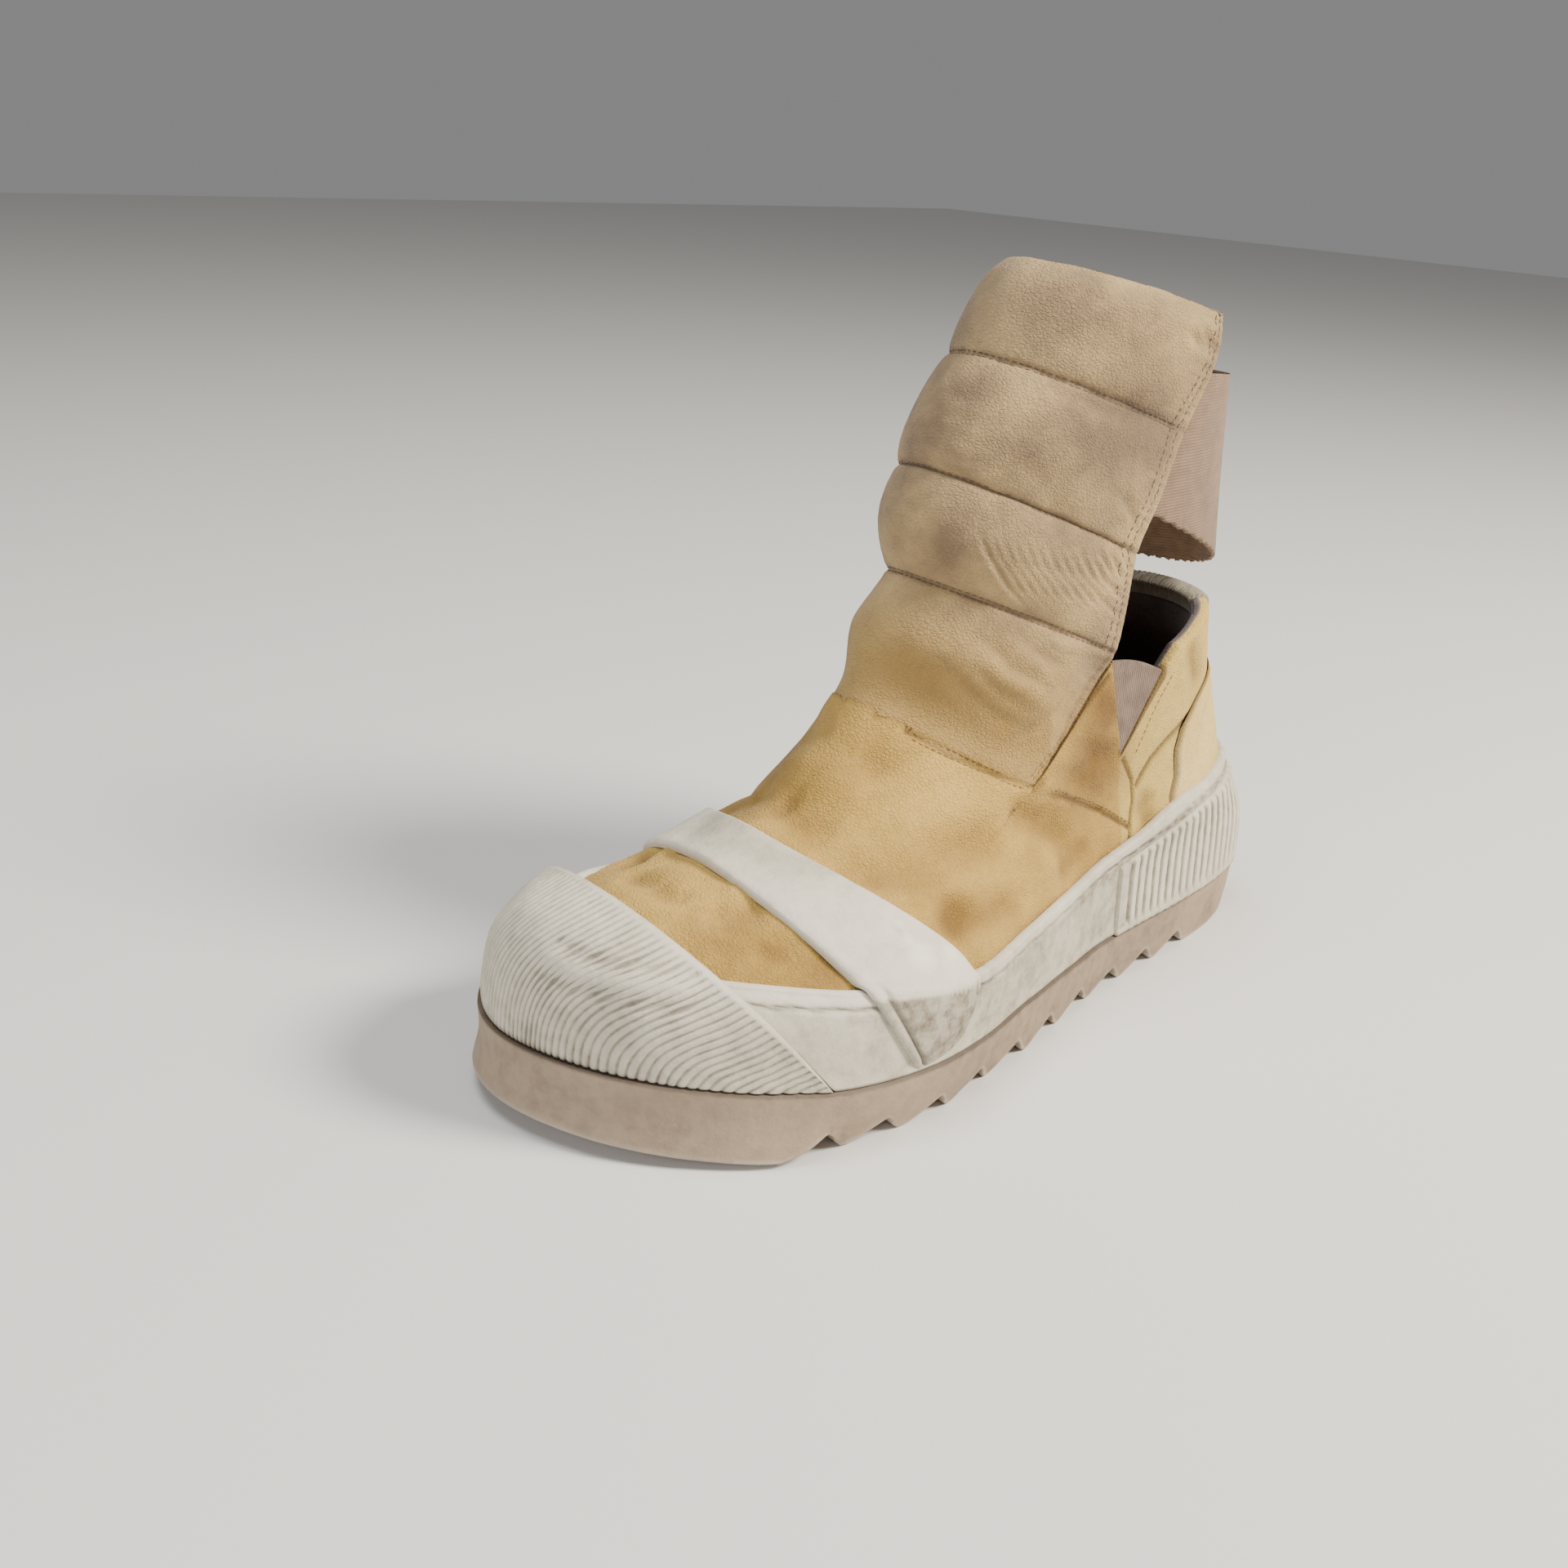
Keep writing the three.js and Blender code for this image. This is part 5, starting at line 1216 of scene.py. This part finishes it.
def foxing_shape(across, along):
    wall, lip, back = FOXING_ROWS
    row = across * sum(FOXING_ROWS)
    up = np.clip(row / wall, 0, 1)
    swing = np.clip((row - wall) / lip, 0, 1) * np.pi
    drop = np.clip((row - wall - lip) / back, 0, 1)
    turn = along * 2 - 1
    reach = np.full(turn.shape, 0.66)
    for _ in range(3):
        guess = last(np.full(turn.shape, 0.1), turn * reach)[:, 0]
        top = foxing_line(guess / LENGTH) * INSTEP_HEIGHT
        bottom = sole_top(guess) + GAP
        z = bottom + (top - bottom) * up
        marks = np.linspace(20, 66, 24)
        reach = np.interp(z, marks, foxing_turn(marks))
    turn = turn * reach
    level = level_at(z, turn)
    normal = last_normal(level, turn)
    normal[:, 2] = 0
    normal /= np.linalg.norm(normal, axis=1, keepdims=True)
    p = last(level, turn)
    thick = FOXING
    below = top - z
    at_x = p[:, 0]
    wave = 0.32 * np.sin(at_x / 5.2 * 2 * np.pi * 0.5 + 0.8 * np.sin(at_x / 11))
    sunk = 0.75 * np.exp(-(((below - 3.1 - wave) / 0.42) ** 2))
    sunk += 0.35 * np.exp(-(((below - 3.1 + wave) / 0.4) ** 2))
    lip_round = 1.0 * (1 - smooth(below / 2.2))
    hollow = 0.35 * smooth((below - 3) / 4) * smooth((z - bottom) / 4)
    foot = 0.5 * (1 - smooth((z - bottom) / 0.9))
    out = GAP + thick - np.where(row <= wall, sunk + 0.25 * lip_round + hollow + foot, 0.25)
    out = np.where((row > wall) & (row <= wall + lip), GAP + (thick - 0.25) * (1 + np.cos(swing)) / 2, out)
    out = np.where(row > wall + lip, GAP * 0.2, out)
    end = smooth((1 - np.abs(along * 2 - 1)) * FOXING_COLUMNS / 2 / 3)
    out = np.where(end < 1, np.minimum(out, GAP + (thick - 0.4) * end), out)
    p = p + normal * out[:, None]
    p[:, 2] += 0.9 * np.sin(swing) - 6 * drop
    return p


foxing = skin("foxing_band", sum(FOXING_ROWS), FOXING_COLUMNS, foxing_shape)
at = place_of(foxing)
row = share_of(foxing, "across") * sum(FOXING_ROWS)
uneven = 0.12 * speckle(points_of(foxing), 19, 41) + 0.05 * speckle(points_of(foxing), 4, 42)
raise_by(foxing, (row < FOXING_ROWS[0]) * uneven)
below = foxing_line(at[:, 0] / LENGTH) * INSTEP_HEIGHT - at[:, 2]
wave = 0.32 * np.sin(at[:, 0] / 5.2 * 2 * np.pi * 0.5 + 0.8 * np.sin(at[:, 0] / 11))
thread = np.maximum(np.exp(-(((below - 3.1 - wave) / 0.34) ** 2)),
                    0.4 * np.exp(-(((below - 3.1 + wave) / 0.34) ** 2)))
foot = np.exp(-(((at[:, 2] - sole_top(at[:, 0]) - GAP) / 0.5) ** 2))
front_part = smooth((at[:, 0] - 190) / 10)
thread *= 0.6 + 0.6 * smooth((speckle(points_of(foxing), 26, 44) + 0.3) / 0.6)
cap_x = CAP_LOW[0] + (CAP_HIGH[0] - CAP_LOW[0]) * (at[:, 2] - CAP_LOW[1]) / (CAP_HIGH[1] - CAP_LOW[1])
thread *= smooth((cap_x - 3 - at[:, 0]) / 1.5)
foxing_tree = tree_of(foxing)
drifts = smooth((speckle(points_of(foxing), 30, 45) + 0.5))
stain_and_shade = 0.2 + 0.32 * (1 - front_part) + 0.3 * smooth((3.0 - np.abs(below - 5.5)) / 3) * drifts
stain_and_shade = spots(points_of(foxing), foxing_tree, stain_and_shade, [
    ((1078, 1250), 4.5, 0.9), ((1078, 1290), 7, 0.55), ((1065, 1240), 3, 0.6), ((1215, 1190), 7, 0.8),
    ((1200, 1205), 5, 0.7), ((1000, 1300), 10, 0.35), ((1100, 1310), 5, 0.5), ((1290, 1110), 8, 0.3),
])
clean = 0.5 * smooth((2.2 - below) / 1.2) + 0.25 * smooth((speckle(points_of(foxing), 40, 46) - 0.2) / 0.6)
paint(foxing, "tone", red=0.75 * thread + 0.6 * foot, green=stain_and_shade, blue=clean * 0.7)
dress(foxing, white_rubber)
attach(foxing, "root")
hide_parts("foxing")

# Heel patch
# A second layer of rubber round the heel with upright ribs, between a plain foot and
# the band's lip. Its front ends in one wide flat rib.
PATCH_FRONT = 0.322
PATCH_DROP = 9.5
patch_reach = np.arccos(1 - 2 * PATCH_FRONT) / np.pi
PATCH_ROWS = (5, 30, 5)
PATCH_COLUMNS = 1180


def patch_way():
    """Distance round the heel in mm at each turn."""
    turns = np.linspace(-patch_reach, patch_reach, 801)
    way = last(np.full(turns.shape, 0.11), turns)
    return turns, np.concatenate([[0], np.cumsum(np.linalg.norm(np.diff(way, axis=0), axis=1))])


def patch_profile(way, total):
    """Height of the ribs over the patch's groove floor, by the distance from an end."""
    side = np.minimum(way, total - way)
    pitch = 4.9
    into = np.mod(side - 7.4, pitch) / pitch
    rib = 1 - np.clip((np.abs(into - 0.5) - 0.24) / 0.2, 0, 1) ** 1.2
    flat = smooth(side / 0.8) * smooth((6.2 - side) / 0.9) * 0.8
    first = 0.75 * np.exp(-(((side - 6.7) / 0.45) ** 2))
    return np.where(side < 7.2, flat - first * 0, rib * smooth((side - 7.2) / 0.4))


def patch_shape(across, along):
    row = across * sum(PATCH_ROWS)
    turns, gone = patch_way()
    total = gone[-1]
    way = along * total
    turn = np.interp(way, gone, turns)
    base = last(np.full(turn.shape, 0.11), turn)[:, 0]
    bottom = sole_top(base) + 2 * GAP
    top = foxing_line(base / LENGTH) * INSTEP_HEIGHT - PATCH_DROP + 4.2
    z = bottom + (top - bottom) * np.clip((row - 1) / (sum(PATCH_ROWS) - 2), 0, 1)
    level = level_at(z, turn)
    normal = last_normal(level, turn)
    normal[:, 2] = 0
    normal /= np.linalg.norm(normal, axis=1, keepdims=True)
    frame_low = 1 - smooth((z - bottom - 1.6) / 0.9)
    rib = np.maximum(patch_profile(way, total), 0.85 * frame_low)
    slope = smooth((top - z) / 1.4)
    edge_fall = smooth(np.minimum(way, total - way) / 0.7)
    out = GAP * 2 + FOXING + (0.35 + 1.1 * rib) * slope * edge_fall - 0.3
    out = np.where((row < 0.5) | (row > sum(PATCH_ROWS) - 0.5), GAP + FOXING - 0.8, out)
    out = np.where((along < 0.0005) | (along > 0.9995), GAP + FOXING - 0.8, out)
    p = last(level, turn) + normal * out[:, None]
    return p


patch = skin("heel_patch_ribbed", sum(PATCH_ROWS), PATCH_COLUMNS, patch_shape)
at = place_of(patch)
turns, gone = patch_way()
way = share_of(patch, "along") * gone[-1]
bare = 1 - patch_profile(way, gone[-1])
rise = share_of(patch, "across")
raise_by(patch, 0.1 * speckle(points_of(patch), 3, 51) * (rise > 0.1) * (rise < 0.95))
side = np.minimum(way, gone[-1] - way)
pink = (side < 6.6) * smooth((side - 0.6) / 0.5) * (rise > 0.12)
ends = smooth((rise - 0.1) / 0.08) * smooth((0.96 - rise) / 0.08)
dirty = 0.75 * bare * ends * (0.6 + 0.5 * speckle(points_of(patch), 8, 52))
lines = 0.42 * np.clip(bare, 0, 1) ** 2 * ends * (side > 7)
lines = lines + 0.6 * np.exp(-(((side - 6.9) / 0.4) ** 2)) * ends + 0.6 * np.exp(-((rise / 0.03) ** 2))
paint(patch, "tone", red=lines,
      green=np.clip(dirty + 0.75 * pink, 0, 1), blue=0.3 * (bare < 0.2) * ends)
dress(patch, white_rubber)
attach(patch, "root")
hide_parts("heel_patch")

# Toe cap
# A thick rubber cap with close ribs from its slanted rear edge over the toe to the
# outsole. The ribs are worn, pinched once across the crown, and hold dirt low down.
RIB_PITCH = 2.5
CAP_INSET = 0.7
CAP_ROWS = 92
CAP_STEPS = 12


def bezier_line(points, count):
    """Points evenly spaced along a polyline."""
    gone = np.concatenate([[0], np.cumsum(np.linalg.norm(np.diff(points, axis=0), axis=1))])
    want = np.linspace(0, gone[-1], count)
    return np.stack([np.interp(want, gone, points[:, k]) for k in range(3)], -1), gone[-1]


def cap_arch():
    angle = np.linspace(0, np.pi, 97)
    half = plan_half(CAP_LOW[0] / LENGTH) - CAP_INSET
    up = np.abs(np.sin(angle)) ** 0.96
    side = np.sign(np.cos(angle)) * np.abs(np.cos(angle)) ** 0.96
    x = CAP_LOW[0] + (CAP_HIGH[0] - CAP_LOW[0]) * up
    centre = BALL_HALF * (plan_centre(x / LENGTH) * (1 - up) - 0.01 * up)
    z = np.maximum(CAP_LOW[1] + (CAP_HIGH[1] - CAP_LOW[1]) * up, sole_top(x) + 1.6 * GAP)
    return np.stack([x, centre + half * side, z], -1)


def cap_foot():
    start = np.arccos(1 - 2 * CAP_LOW[0] / LENGTH) / np.pi
    t = np.linspace(start, 2 - start, 193)
    s = np.where(t <= 1, t, 2 - t)
    share = (1 - np.cos(np.pi * s)) / 2
    half = np.maximum(plan_half(share) - CAP_INSET, 0)
    x = share * LENGTH - CAP_INSET * smooth((share - 0.9) / 0.1)
    y = BALL_HALF * plan_centre(share) + np.where(t <= 1, 1, -1) * half
    return np.stack([x, y, sole_top(x) + 1.6 * GAP], -1)


arch_length = bezier_line(cap_arch(), 10)[1]
cap_ribs = int(round(arch_length / RIB_PITCH))
CAP_COLUMNS = cap_ribs * CAP_STEPS
cap_rear = bezier_line(cap_arch(), CAP_COLUMNS + 1)[0]
# Ribs lean forwards from the rear edge, so their feet run ahead of their heads
foot_share = curve([0, 0.08, 0.2, 0.33, 0.44, 1], [0, 0.15, 0.295, 0.431, 0.51, 1])
cap_low = bezier_line(cap_foot(), 2001)[0]
foot_at = foot_share(np.linspace(0, 1, CAP_COLUMNS + 1)) * 2000
cap_low = np.stack([np.interp(foot_at, np.arange(2001), cap_low[:, k]) for k in range(3)], -1)


def cap_point(t, along):
    """The cap's plain surface, t from its rear edge to its foot."""
    index = np.clip(np.round(along * CAP_COLUMNS).astype(int), 0, CAP_COLUMNS)
    rear, low = cap_rear[index], cap_low[index]
    up = np.sin(np.pi * along)
    side = np.where(along < 0.5, 1, -1)
    chord = np.linalg.norm(rear - low, axis=1)
    flat = 1 - smooth((up - 0.35) / 0.65)
    forward = np.stack([np.full(up.shape, 0.9), -side * 0.42 * flat, -0.25 - 0.42 * flat], -1)
    forward /= np.linalg.norm(forward, axis=1, keepdims=True)
    out = np.stack([low[:, 0] - LENGTH * 0.8, low[:, 1], np.zeros(up.shape)], -1)
    out /= np.maximum(np.linalg.norm(out, axis=1, keepdims=True), 1e-9)
    first = rear + forward * (chord * 0.5)[:, None]
    steep = smooth((up - 0.1) / 0.6)
    second = low + np.array([0, 0, 1]) * (chord * 0.52 * (0.35 + 0.65 * up) * (0.35 + 0.65 * steep))[:, None]
    second = second + out * (0.3 * up)[:, None] + (rear - low) * (0.3 * (1 - steep))[:, None]
    a, b, c, d = [w[:, None] for w in ((1 - t) ** 3, 3 * t * (1 - t) ** 2, 3 * t ** 2 * (1 - t), t ** 3)]
    return rear * a + first * b + second * c + low * d


def cap_normal(t, along):
    d = 1 / CAP_COLUMNS
    over = cap_point(t, np.clip(along + 3 * d, 0, 1)) - cap_point(t, np.clip(along - 3 * d, 0, 1))
    down = cap_point(np.clip(t + 0.02, 0, 1), along) - cap_point(np.clip(t - 0.02, 0, 1), along)
    n = np.cross(over, down)
    return n / np.maximum(np.linalg.norm(n, axis=1, keepdims=True), 1e-9)


def cap_phase(t, along):
    """Place across one rib, 0 to 1; the ribs wander a little."""
    wander = 0.05 * np.sin(t * 7 + along * 43) + 0.03 * np.sin(t * 17 + along * 95)
    return np.mod(along * cap_ribs + wander * smooth(t * 4), 1)


def cap_shape(across, along):
    # rows: under the rear edge, over it, then down to the foot and in again
    row = across * CAP_ROWS
    t = np.clip((row - 5) / (CAP_ROWS - 8), 0, 1)
    p = cap_point(t, along)
    n = cap_normal(np.clip(t, 0.01, 0.99), along)
    n = np.where((n[:, 2] < -0.2)[:, None], -n, n)
    phase = cap_phase(t, along)
    rib = 1 - np.clip((np.abs(phase - 0.5) - 0.14) / 0.34, 0, 1) ** 1.5
    plain = smooth((t - 0.03) / 0.02)
    depth = 0.6 * smooth(np.sin(np.pi * along) * 12)
    lift = (rib - 1) * depth * plain
    round_edge = -0.9 * (1 - smooth(t / 0.03)) - 0.6 * smooth((t - 0.985) / 0.015)
    under = np.clip((5 - row) / 5, 0, 1)
    lift = lift + round_edge - 1.0 * under
    p = p + n * lift[:, None]
    p = p + np.array([0.8, 0, -1.4]) * under[:, None] * np.sin(np.pi * along)[:, None]
    # the rear edge is cemented down to the vamp
    rows_down = np.round(row) == 0
    p[rows_down] = on_the_last(p[rows_down], np.full(rows_down.sum(), -0.2))
    below = np.clip((row - CAP_ROWS + 3) / 3, 0, 1)
    p = p - (p - np.array([LENGTH * 0.8, 0, 0])) * np.array([1, 1, 0]) * (0.02 * below)[:, None]
    return p


cap = skin("toe_cap_ribbed", CAP_ROWS, CAP_COLUMNS, cap_shape)
cap_tree = tree_of(cap)
at = points_of(cap)
along = share_of(cap, "along")
t = np.clip((share_of(cap, "across") * CAP_ROWS - 5) / (CAP_ROWS - 8), 0, 1)
pinch = trace([(652, 1164), (713, 1194), (790, 1210), (878, 1217)], cap_tree)
away, part = near(at, pinch)
ends = smooth(np.minimum(part, 1 - part) / 0.15)
beside = 0.75 * np.exp(-(((away - 5.2) / 1.8) ** 2)) * (0.5 + 0.5 * np.sin(along * 300))
height = ends * (0.55 * np.exp(-((away / 2.6) ** 2)) - beside)
height += 0.16 * speckle(at, 9, 61) + 0.05 * speckle(at, 2.2, 62)
raise_by(cap, height * smooth(t * 20) * smooth((1 - t) * 20))
cap_tree = tree_of(cap)
phase = cap_phase(t, along)
deep = np.clip((np.abs(phase - 0.5) - 0.27) / 0.2, 0, 1) * smooth((t - 0.03) / 0.03)
low_down = smooth((t - 0.45) / 0.5)
patches = smooth((speckle(at, 5, 63) + 0.1) / 0.7)
dirty = deep * (0.55 + 0.2 * low_down * patches) + 0.3 * low_down * smooth((t - 0.8) / 0.2) * patches
crown = np.maximum(spot(at, cap_tree, (840, 1190), 26), spot(at, cap_tree, (700, 1130), 26))
lines = 0.16 * deep * (0.7 + 0.5 * low_down * patches) + 0.65 * np.exp(-(((1 - t) / 0.02) ** 2))
paint(cap, "tone", red=lines, green=dirty + 0.12, blue=0.45 * crown * (1 - deep))
dress(cap, white_rubber)
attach(cap, "root")
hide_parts("toe_cap")

# Strap
# A flat rubber strap over the vamp. At each side it bends over the foxing into a
# thicker block that reaches down to the outsole.
STRAP_FRONT = np.array([(0.685, 0.1), (0.754, 0.43), (0.8, 0.64), (0.82, 0.74)])
STRAP_REAR = np.array([(0.613, 0.1), (0.622, 0.38), (0.748, 0.71), (0.78, 0.8)])
strap_edge = [curve(line[:, 1] * INSTEP_HEIGHT, line[:, 0] * LENGTH) for line in (STRAP_REAR, STRAP_FRONT)]
STRAP = 2.6
STRAP_BLOCK = 1.3
STRAP_ROWS = 70
STRAP_COLUMNS = 620


def strap_shape(across, along):
    # across runs from under the rear edge over the strap to under the front edge
    row = across * STRAP_ROWS
    s = np.clip((row - 3) / (STRAP_ROWS - 6), 0, 1)
    tuck = np.clip(np.maximum(3 - row, row - STRAP_ROWS + 3) / 3, 0, 1)

    def line_x(z):
        return strap_edge[0](z) + (strap_edge[1](z) - strap_edge[0](z)) * s

    foot = np.full(s.shape, 0.6)
    for _ in range(5):
        x = line_x(sole_top(last(np.zeros(s.shape), foot)[:, 0]) + GAP + 1.0)
        foot = np.arccos(np.clip(1 - 2 * (x + 0.4) / LENGTH, -1, 1)) / np.pi
    turn = foot + (2 - 2 * foot) * along
    low = np.zeros(s.shape)
    high = np.ones(s.shape)
    for _ in range(17):
        middle = (low + high) / 2
        p = last(middle, turn)
        ahead = p[:, 0] > line_x(p[:, 2])
        low = np.where(ahead, middle, low)
        high = np.where(ahead, high, middle)
    p = last(low, turn)
    n = last_normal(low, turn)
    top = foxing_line(p[:, 0] / LENGTH) * INSTEP_HEIGHT
    block = smooth((top + 1.6 - p[:, 2]) / 2.4)
    edge_round = (1 - np.abs(2 * s - 1) ** 14) ** 0.5
    thin = GAP + STRAP * (0.45 + 0.55 * edge_round)
    # the block stands up between a groove in front and a thin flange behind
    mm = s * 26
    groove_front = np.exp(-(((mm - 23.2) / 0.7) ** 2))
    groove_rear = np.exp(-(((mm - 2.0) / 0.45) ** 2))
    thick = GAP * 2 + FOXING + STRAP_BLOCK * (0.35 + 0.65 * edge_round)
    thick = thick - 1.1 * groove_front - 0.9 * groove_rear
    rise = 0.5 * np.exp(-(((p[:, 2] - top - 1.2) / 1.2) ** 2))
    out = thin + (thick - thin) * block + rise
    out = out * (1 - tuck) + (GAP * 0.3 + (FOXING * 0.9) * block) * tuck
    first = smooth(np.minimum(along, 1 - along) * STRAP_COLUMNS / 3)
    out = out * (0.8 + 0.2 * first)
    return p + n * out[:, None]


strap = skin("vamp_strap", STRAP_ROWS, STRAP_COLUMNS, strap_shape)
strap_tree = tree_of(strap)
at = points_of(strap)
mm = place_of(strap)
s = np.clip((share_of(strap, "across") * STRAP_ROWS - 3) / (STRAP_ROWS - 6), 0, 1)
height = 0.3 * speckle(at, 26, 71) + 0.07 * speckle(at, 5, 72)
for line, width, depth in (([(1092, 1122), (1106, 1140), (1115, 1160)], 1.3, -0.45),
                           ([(1062, 1150), (1105, 1158), (1150, 1160), (1180, 1172)], 2.0, -0.5),
                           ([(985, 1150), (1035, 1185), (1075, 1205)], 1.8, -0.3),
                           ([(915, 1075), (985, 1125), (1040, 1170)], 2.2, -0.3)):
    laid = trace(line, strap_tree)
    if len(laid) > 1:
        height += fold(at, laid, width, depth, 0.3)
raise_by(strap, height * smooth(np.minimum(s, 1 - s) * 14))
strap_tree = tree_of(strap)
top = foxing_line(mm[:, 0] / LENGTH) * INSTEP_HEIGHT
block = smooth((top + 0.2 - mm[:, 2]) / 1.4)
cross = s * 26
flange = block * (smooth((cross - 22.4) / 0.6) + smooth((2.4 - cross) / 0.6))
grooves = block * (np.exp(-(((cross - 23.2) / 0.55) ** 2)) + 0.7 * np.exp(-(((cross - 2.0) / 0.35) ** 2)))
foot = np.exp(-(((mm[:, 2] - sole_top(mm[:, 0]) - 1.2) / 0.7) ** 2))
stain_and_shade = block * (0.92 + 0.2 * speckle(at, 9, 73)) * (1 - 0.6 * flange) + 0.1
stain_and_shade = spots(at, strap_tree, stain_and_shade, [
    ((1075, 1170), 3, 0.7), ((1062, 1182), 4, 0.5), ((960, 1100), 10, 0.25),
])
bright = np.zeros(len(at))
bright = spots(at, strap_tree, bright, [
    ((1130, 1170), 7, 1.0), ((1165, 1166), 6, 0.9), ((1112, 1150), 4, 0.9), ((1100, 1130), 3, 0.8),
])
bright = np.maximum(bright * (1 - block), 0.5 * (1 - block) * smooth((speckle(at, 40, 74) + 0.3) / 0.8))
paint(strap, "tone", red=0.8 * grooves + 0.35 * foot * block, green=stain_and_shade, blue=bright)
dress(strap, white_rubber)
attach(strap, "root")
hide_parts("strap")


# Stitches
# Waxed thread in even stitches along the seams, one joined mesh for each colour.
def sew(net, line, tree, side=0.0, pitch=2.3, length=1.7, width=0.42, sink=0.1):
    """Adds stitches beside a line on a surface; side shifts them in mm."""
    steps = np.linalg.norm(np.diff(line, axis=0), axis=1)
    gone = np.concatenate([[0], np.cumsum(steps)]) * 1000
    want = np.arange(pitch / 2, gone[-1], pitch)
    for place in want:
        here, ahead = [np.array([np.interp(w, gone, line[:, k]) for k in range(3)])
                       for w in (place, place + 0.4)]
        on, normal, _, _ = tree.find_nearest(Vector(here))
        if on is None:
            continue
        along = Vector(ahead - here).normalized()
        over = normal.cross(along).normalized()
        at = on + over * side / 1000
        on, normal, _, _ = tree.find_nearest(at)
        along = (along - normal * along.dot(normal)).normalized()
        over = normal.cross(along)
        turn = Matrix([along, over, normal]).transposed().to_4x4()
        shape = Matrix.Diagonal((length / 2000, width / 2000, width / 2000, 1))
        centre = on + normal * (width / 2 - sink - 0.05) / 1000
        set_in = Matrix.Translation(centre) @ turn @ shape
        bmesh.ops.create_icosphere(net, subdivisions=2, radius=1, matrix=set_in)


def smooth_line(line, count=60):
    """The same line with rounded corners."""
    gone = np.concatenate([[0], np.cumsum(np.linalg.norm(np.diff(line, axis=0), axis=1))])
    curves = [curve(gone, line[:, k]) for k in range(3)]
    want = np.linspace(0, gone[-1], count)
    return np.stack([c(want) for c in curves], -1)


def thread(name, colour):
    material, tree, surface, place = finish(name)
    tint = blend(tree, cloudy(tree, place, 1.5, 0.3, 0.7), linear(colour), linear("6B5538"))
    tree.links.new(tint, surface.inputs["Base Color"])
    surface.inputs["Roughness"].default_value = 0.6
    return material


def stitches(name, rows, material):
    net = bmesh.new()
    for line, tree, side in rows:
        sew(net, line, tree, side)
    mesh = bpy.data.meshes.new(name)
    net.to_mesh(mesh)
    net.free()
    mesh.shade_smooth()
    piece = bpy.data.objects.new(name, mesh)
    bpy.context.collection.objects.link(piece)
    dress(piece, material)
    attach(piece, "root")
    return piece


def lifted(line):
    """A line given in the shoe's millimetres, in the scene's metres."""
    return (line - SHOE_ORIGIN) / 1000


rows = []
for seam, tree, sides in ((INSTEP_SEAM, upper_tree, (1.4, -1.4)), (GUSSET_SEAM, tongue_tree, (-1.2, -2.6)),
                          (GORE_REAR, upper_tree, (0.0,)), (PANEL_EDGE, upper_tree, (-1.6,)),
                          (COUNTER_SEAM, upper_tree, (1.8,))):
    laid = smooth_line(trace(seam, tree))
    rows += [(laid, tree, side) for side in sides]
stitches("upper_stitches", rows, thread("golden thread", "9A7542"))
rows = []
for k in (1, 2, 3):
    seam = lifted(tongue_point(np.full(60, k / 4), np.linspace(0.03, 0.97, 60)))
    rows += [(seam, tongue_tree, 0.9), (seam, tongue_tree, -0.9)]
for inset in (0.022, 0.042):
    for edge in (inset, 1 - inset):
        line = tongue_point(np.linspace(0.24, 0.985, 90), np.full(90, edge))
        rows.append((lifted(line), tongue_tree, 0.0))
stitches("tongue_stitches", rows, thread("dark thread", "57483C"))

# Floor and light
# A plain pale floor with soft light from large panels, as on a studio table.
net = bmesh.new()
bmesh.ops.create_grid(net, x_segments=1, y_segments=1, size=4)
mesh = bpy.data.meshes.new("floor")
net.to_mesh(mesh)
net.free()
floor = bpy.data.objects.new("floor", mesh)
bpy.context.collection.objects.link(floor)
material, tree, surface, place = finish("pale paper")
surface.inputs["Base Color"].default_value = linear("D9D8D5")
surface.inputs["Roughness"].default_value = 0.9
dress(floor, material)

world = bpy.data.worlds.new("soft studio")
world.use_nodes = True
world.node_tree.nodes["Background"].inputs["Color"].default_value = (1, 1, 1, 1)
world.node_tree.nodes["Background"].inputs["Strength"].default_value = 0.24
bpy.context.scene.world = world


def panel(name, place, target, size, power, colour="FFFFFF"):
    """A soft light panel in metres, turned to its target."""
    light = bpy.data.lights.new(name, "AREA")
    light.shape = "DISK"
    light.size = size
    light.energy = power
    light.color = linear(colour)[:3]
    item = bpy.data.objects.new(name, light)
    bpy.context.collection.objects.link(item)
    item.location = place
    item.rotation_euler = (Vector(target) - Vector(place)).to_track_quat("-Z", "Y").to_euler()


panel("key", (-0.75, 1.05, 1.25), (0, 0, 0.08), 0.6, 66, "FFF6E8")
panel("fill", (1.5, 0.4, 0.7), (0, 0, 0.06), 0.9, 10, "F6F7FF")
panel("top", (0.35, -0.1, 1.6), (0, 0, 0.1), 0.8, 16)
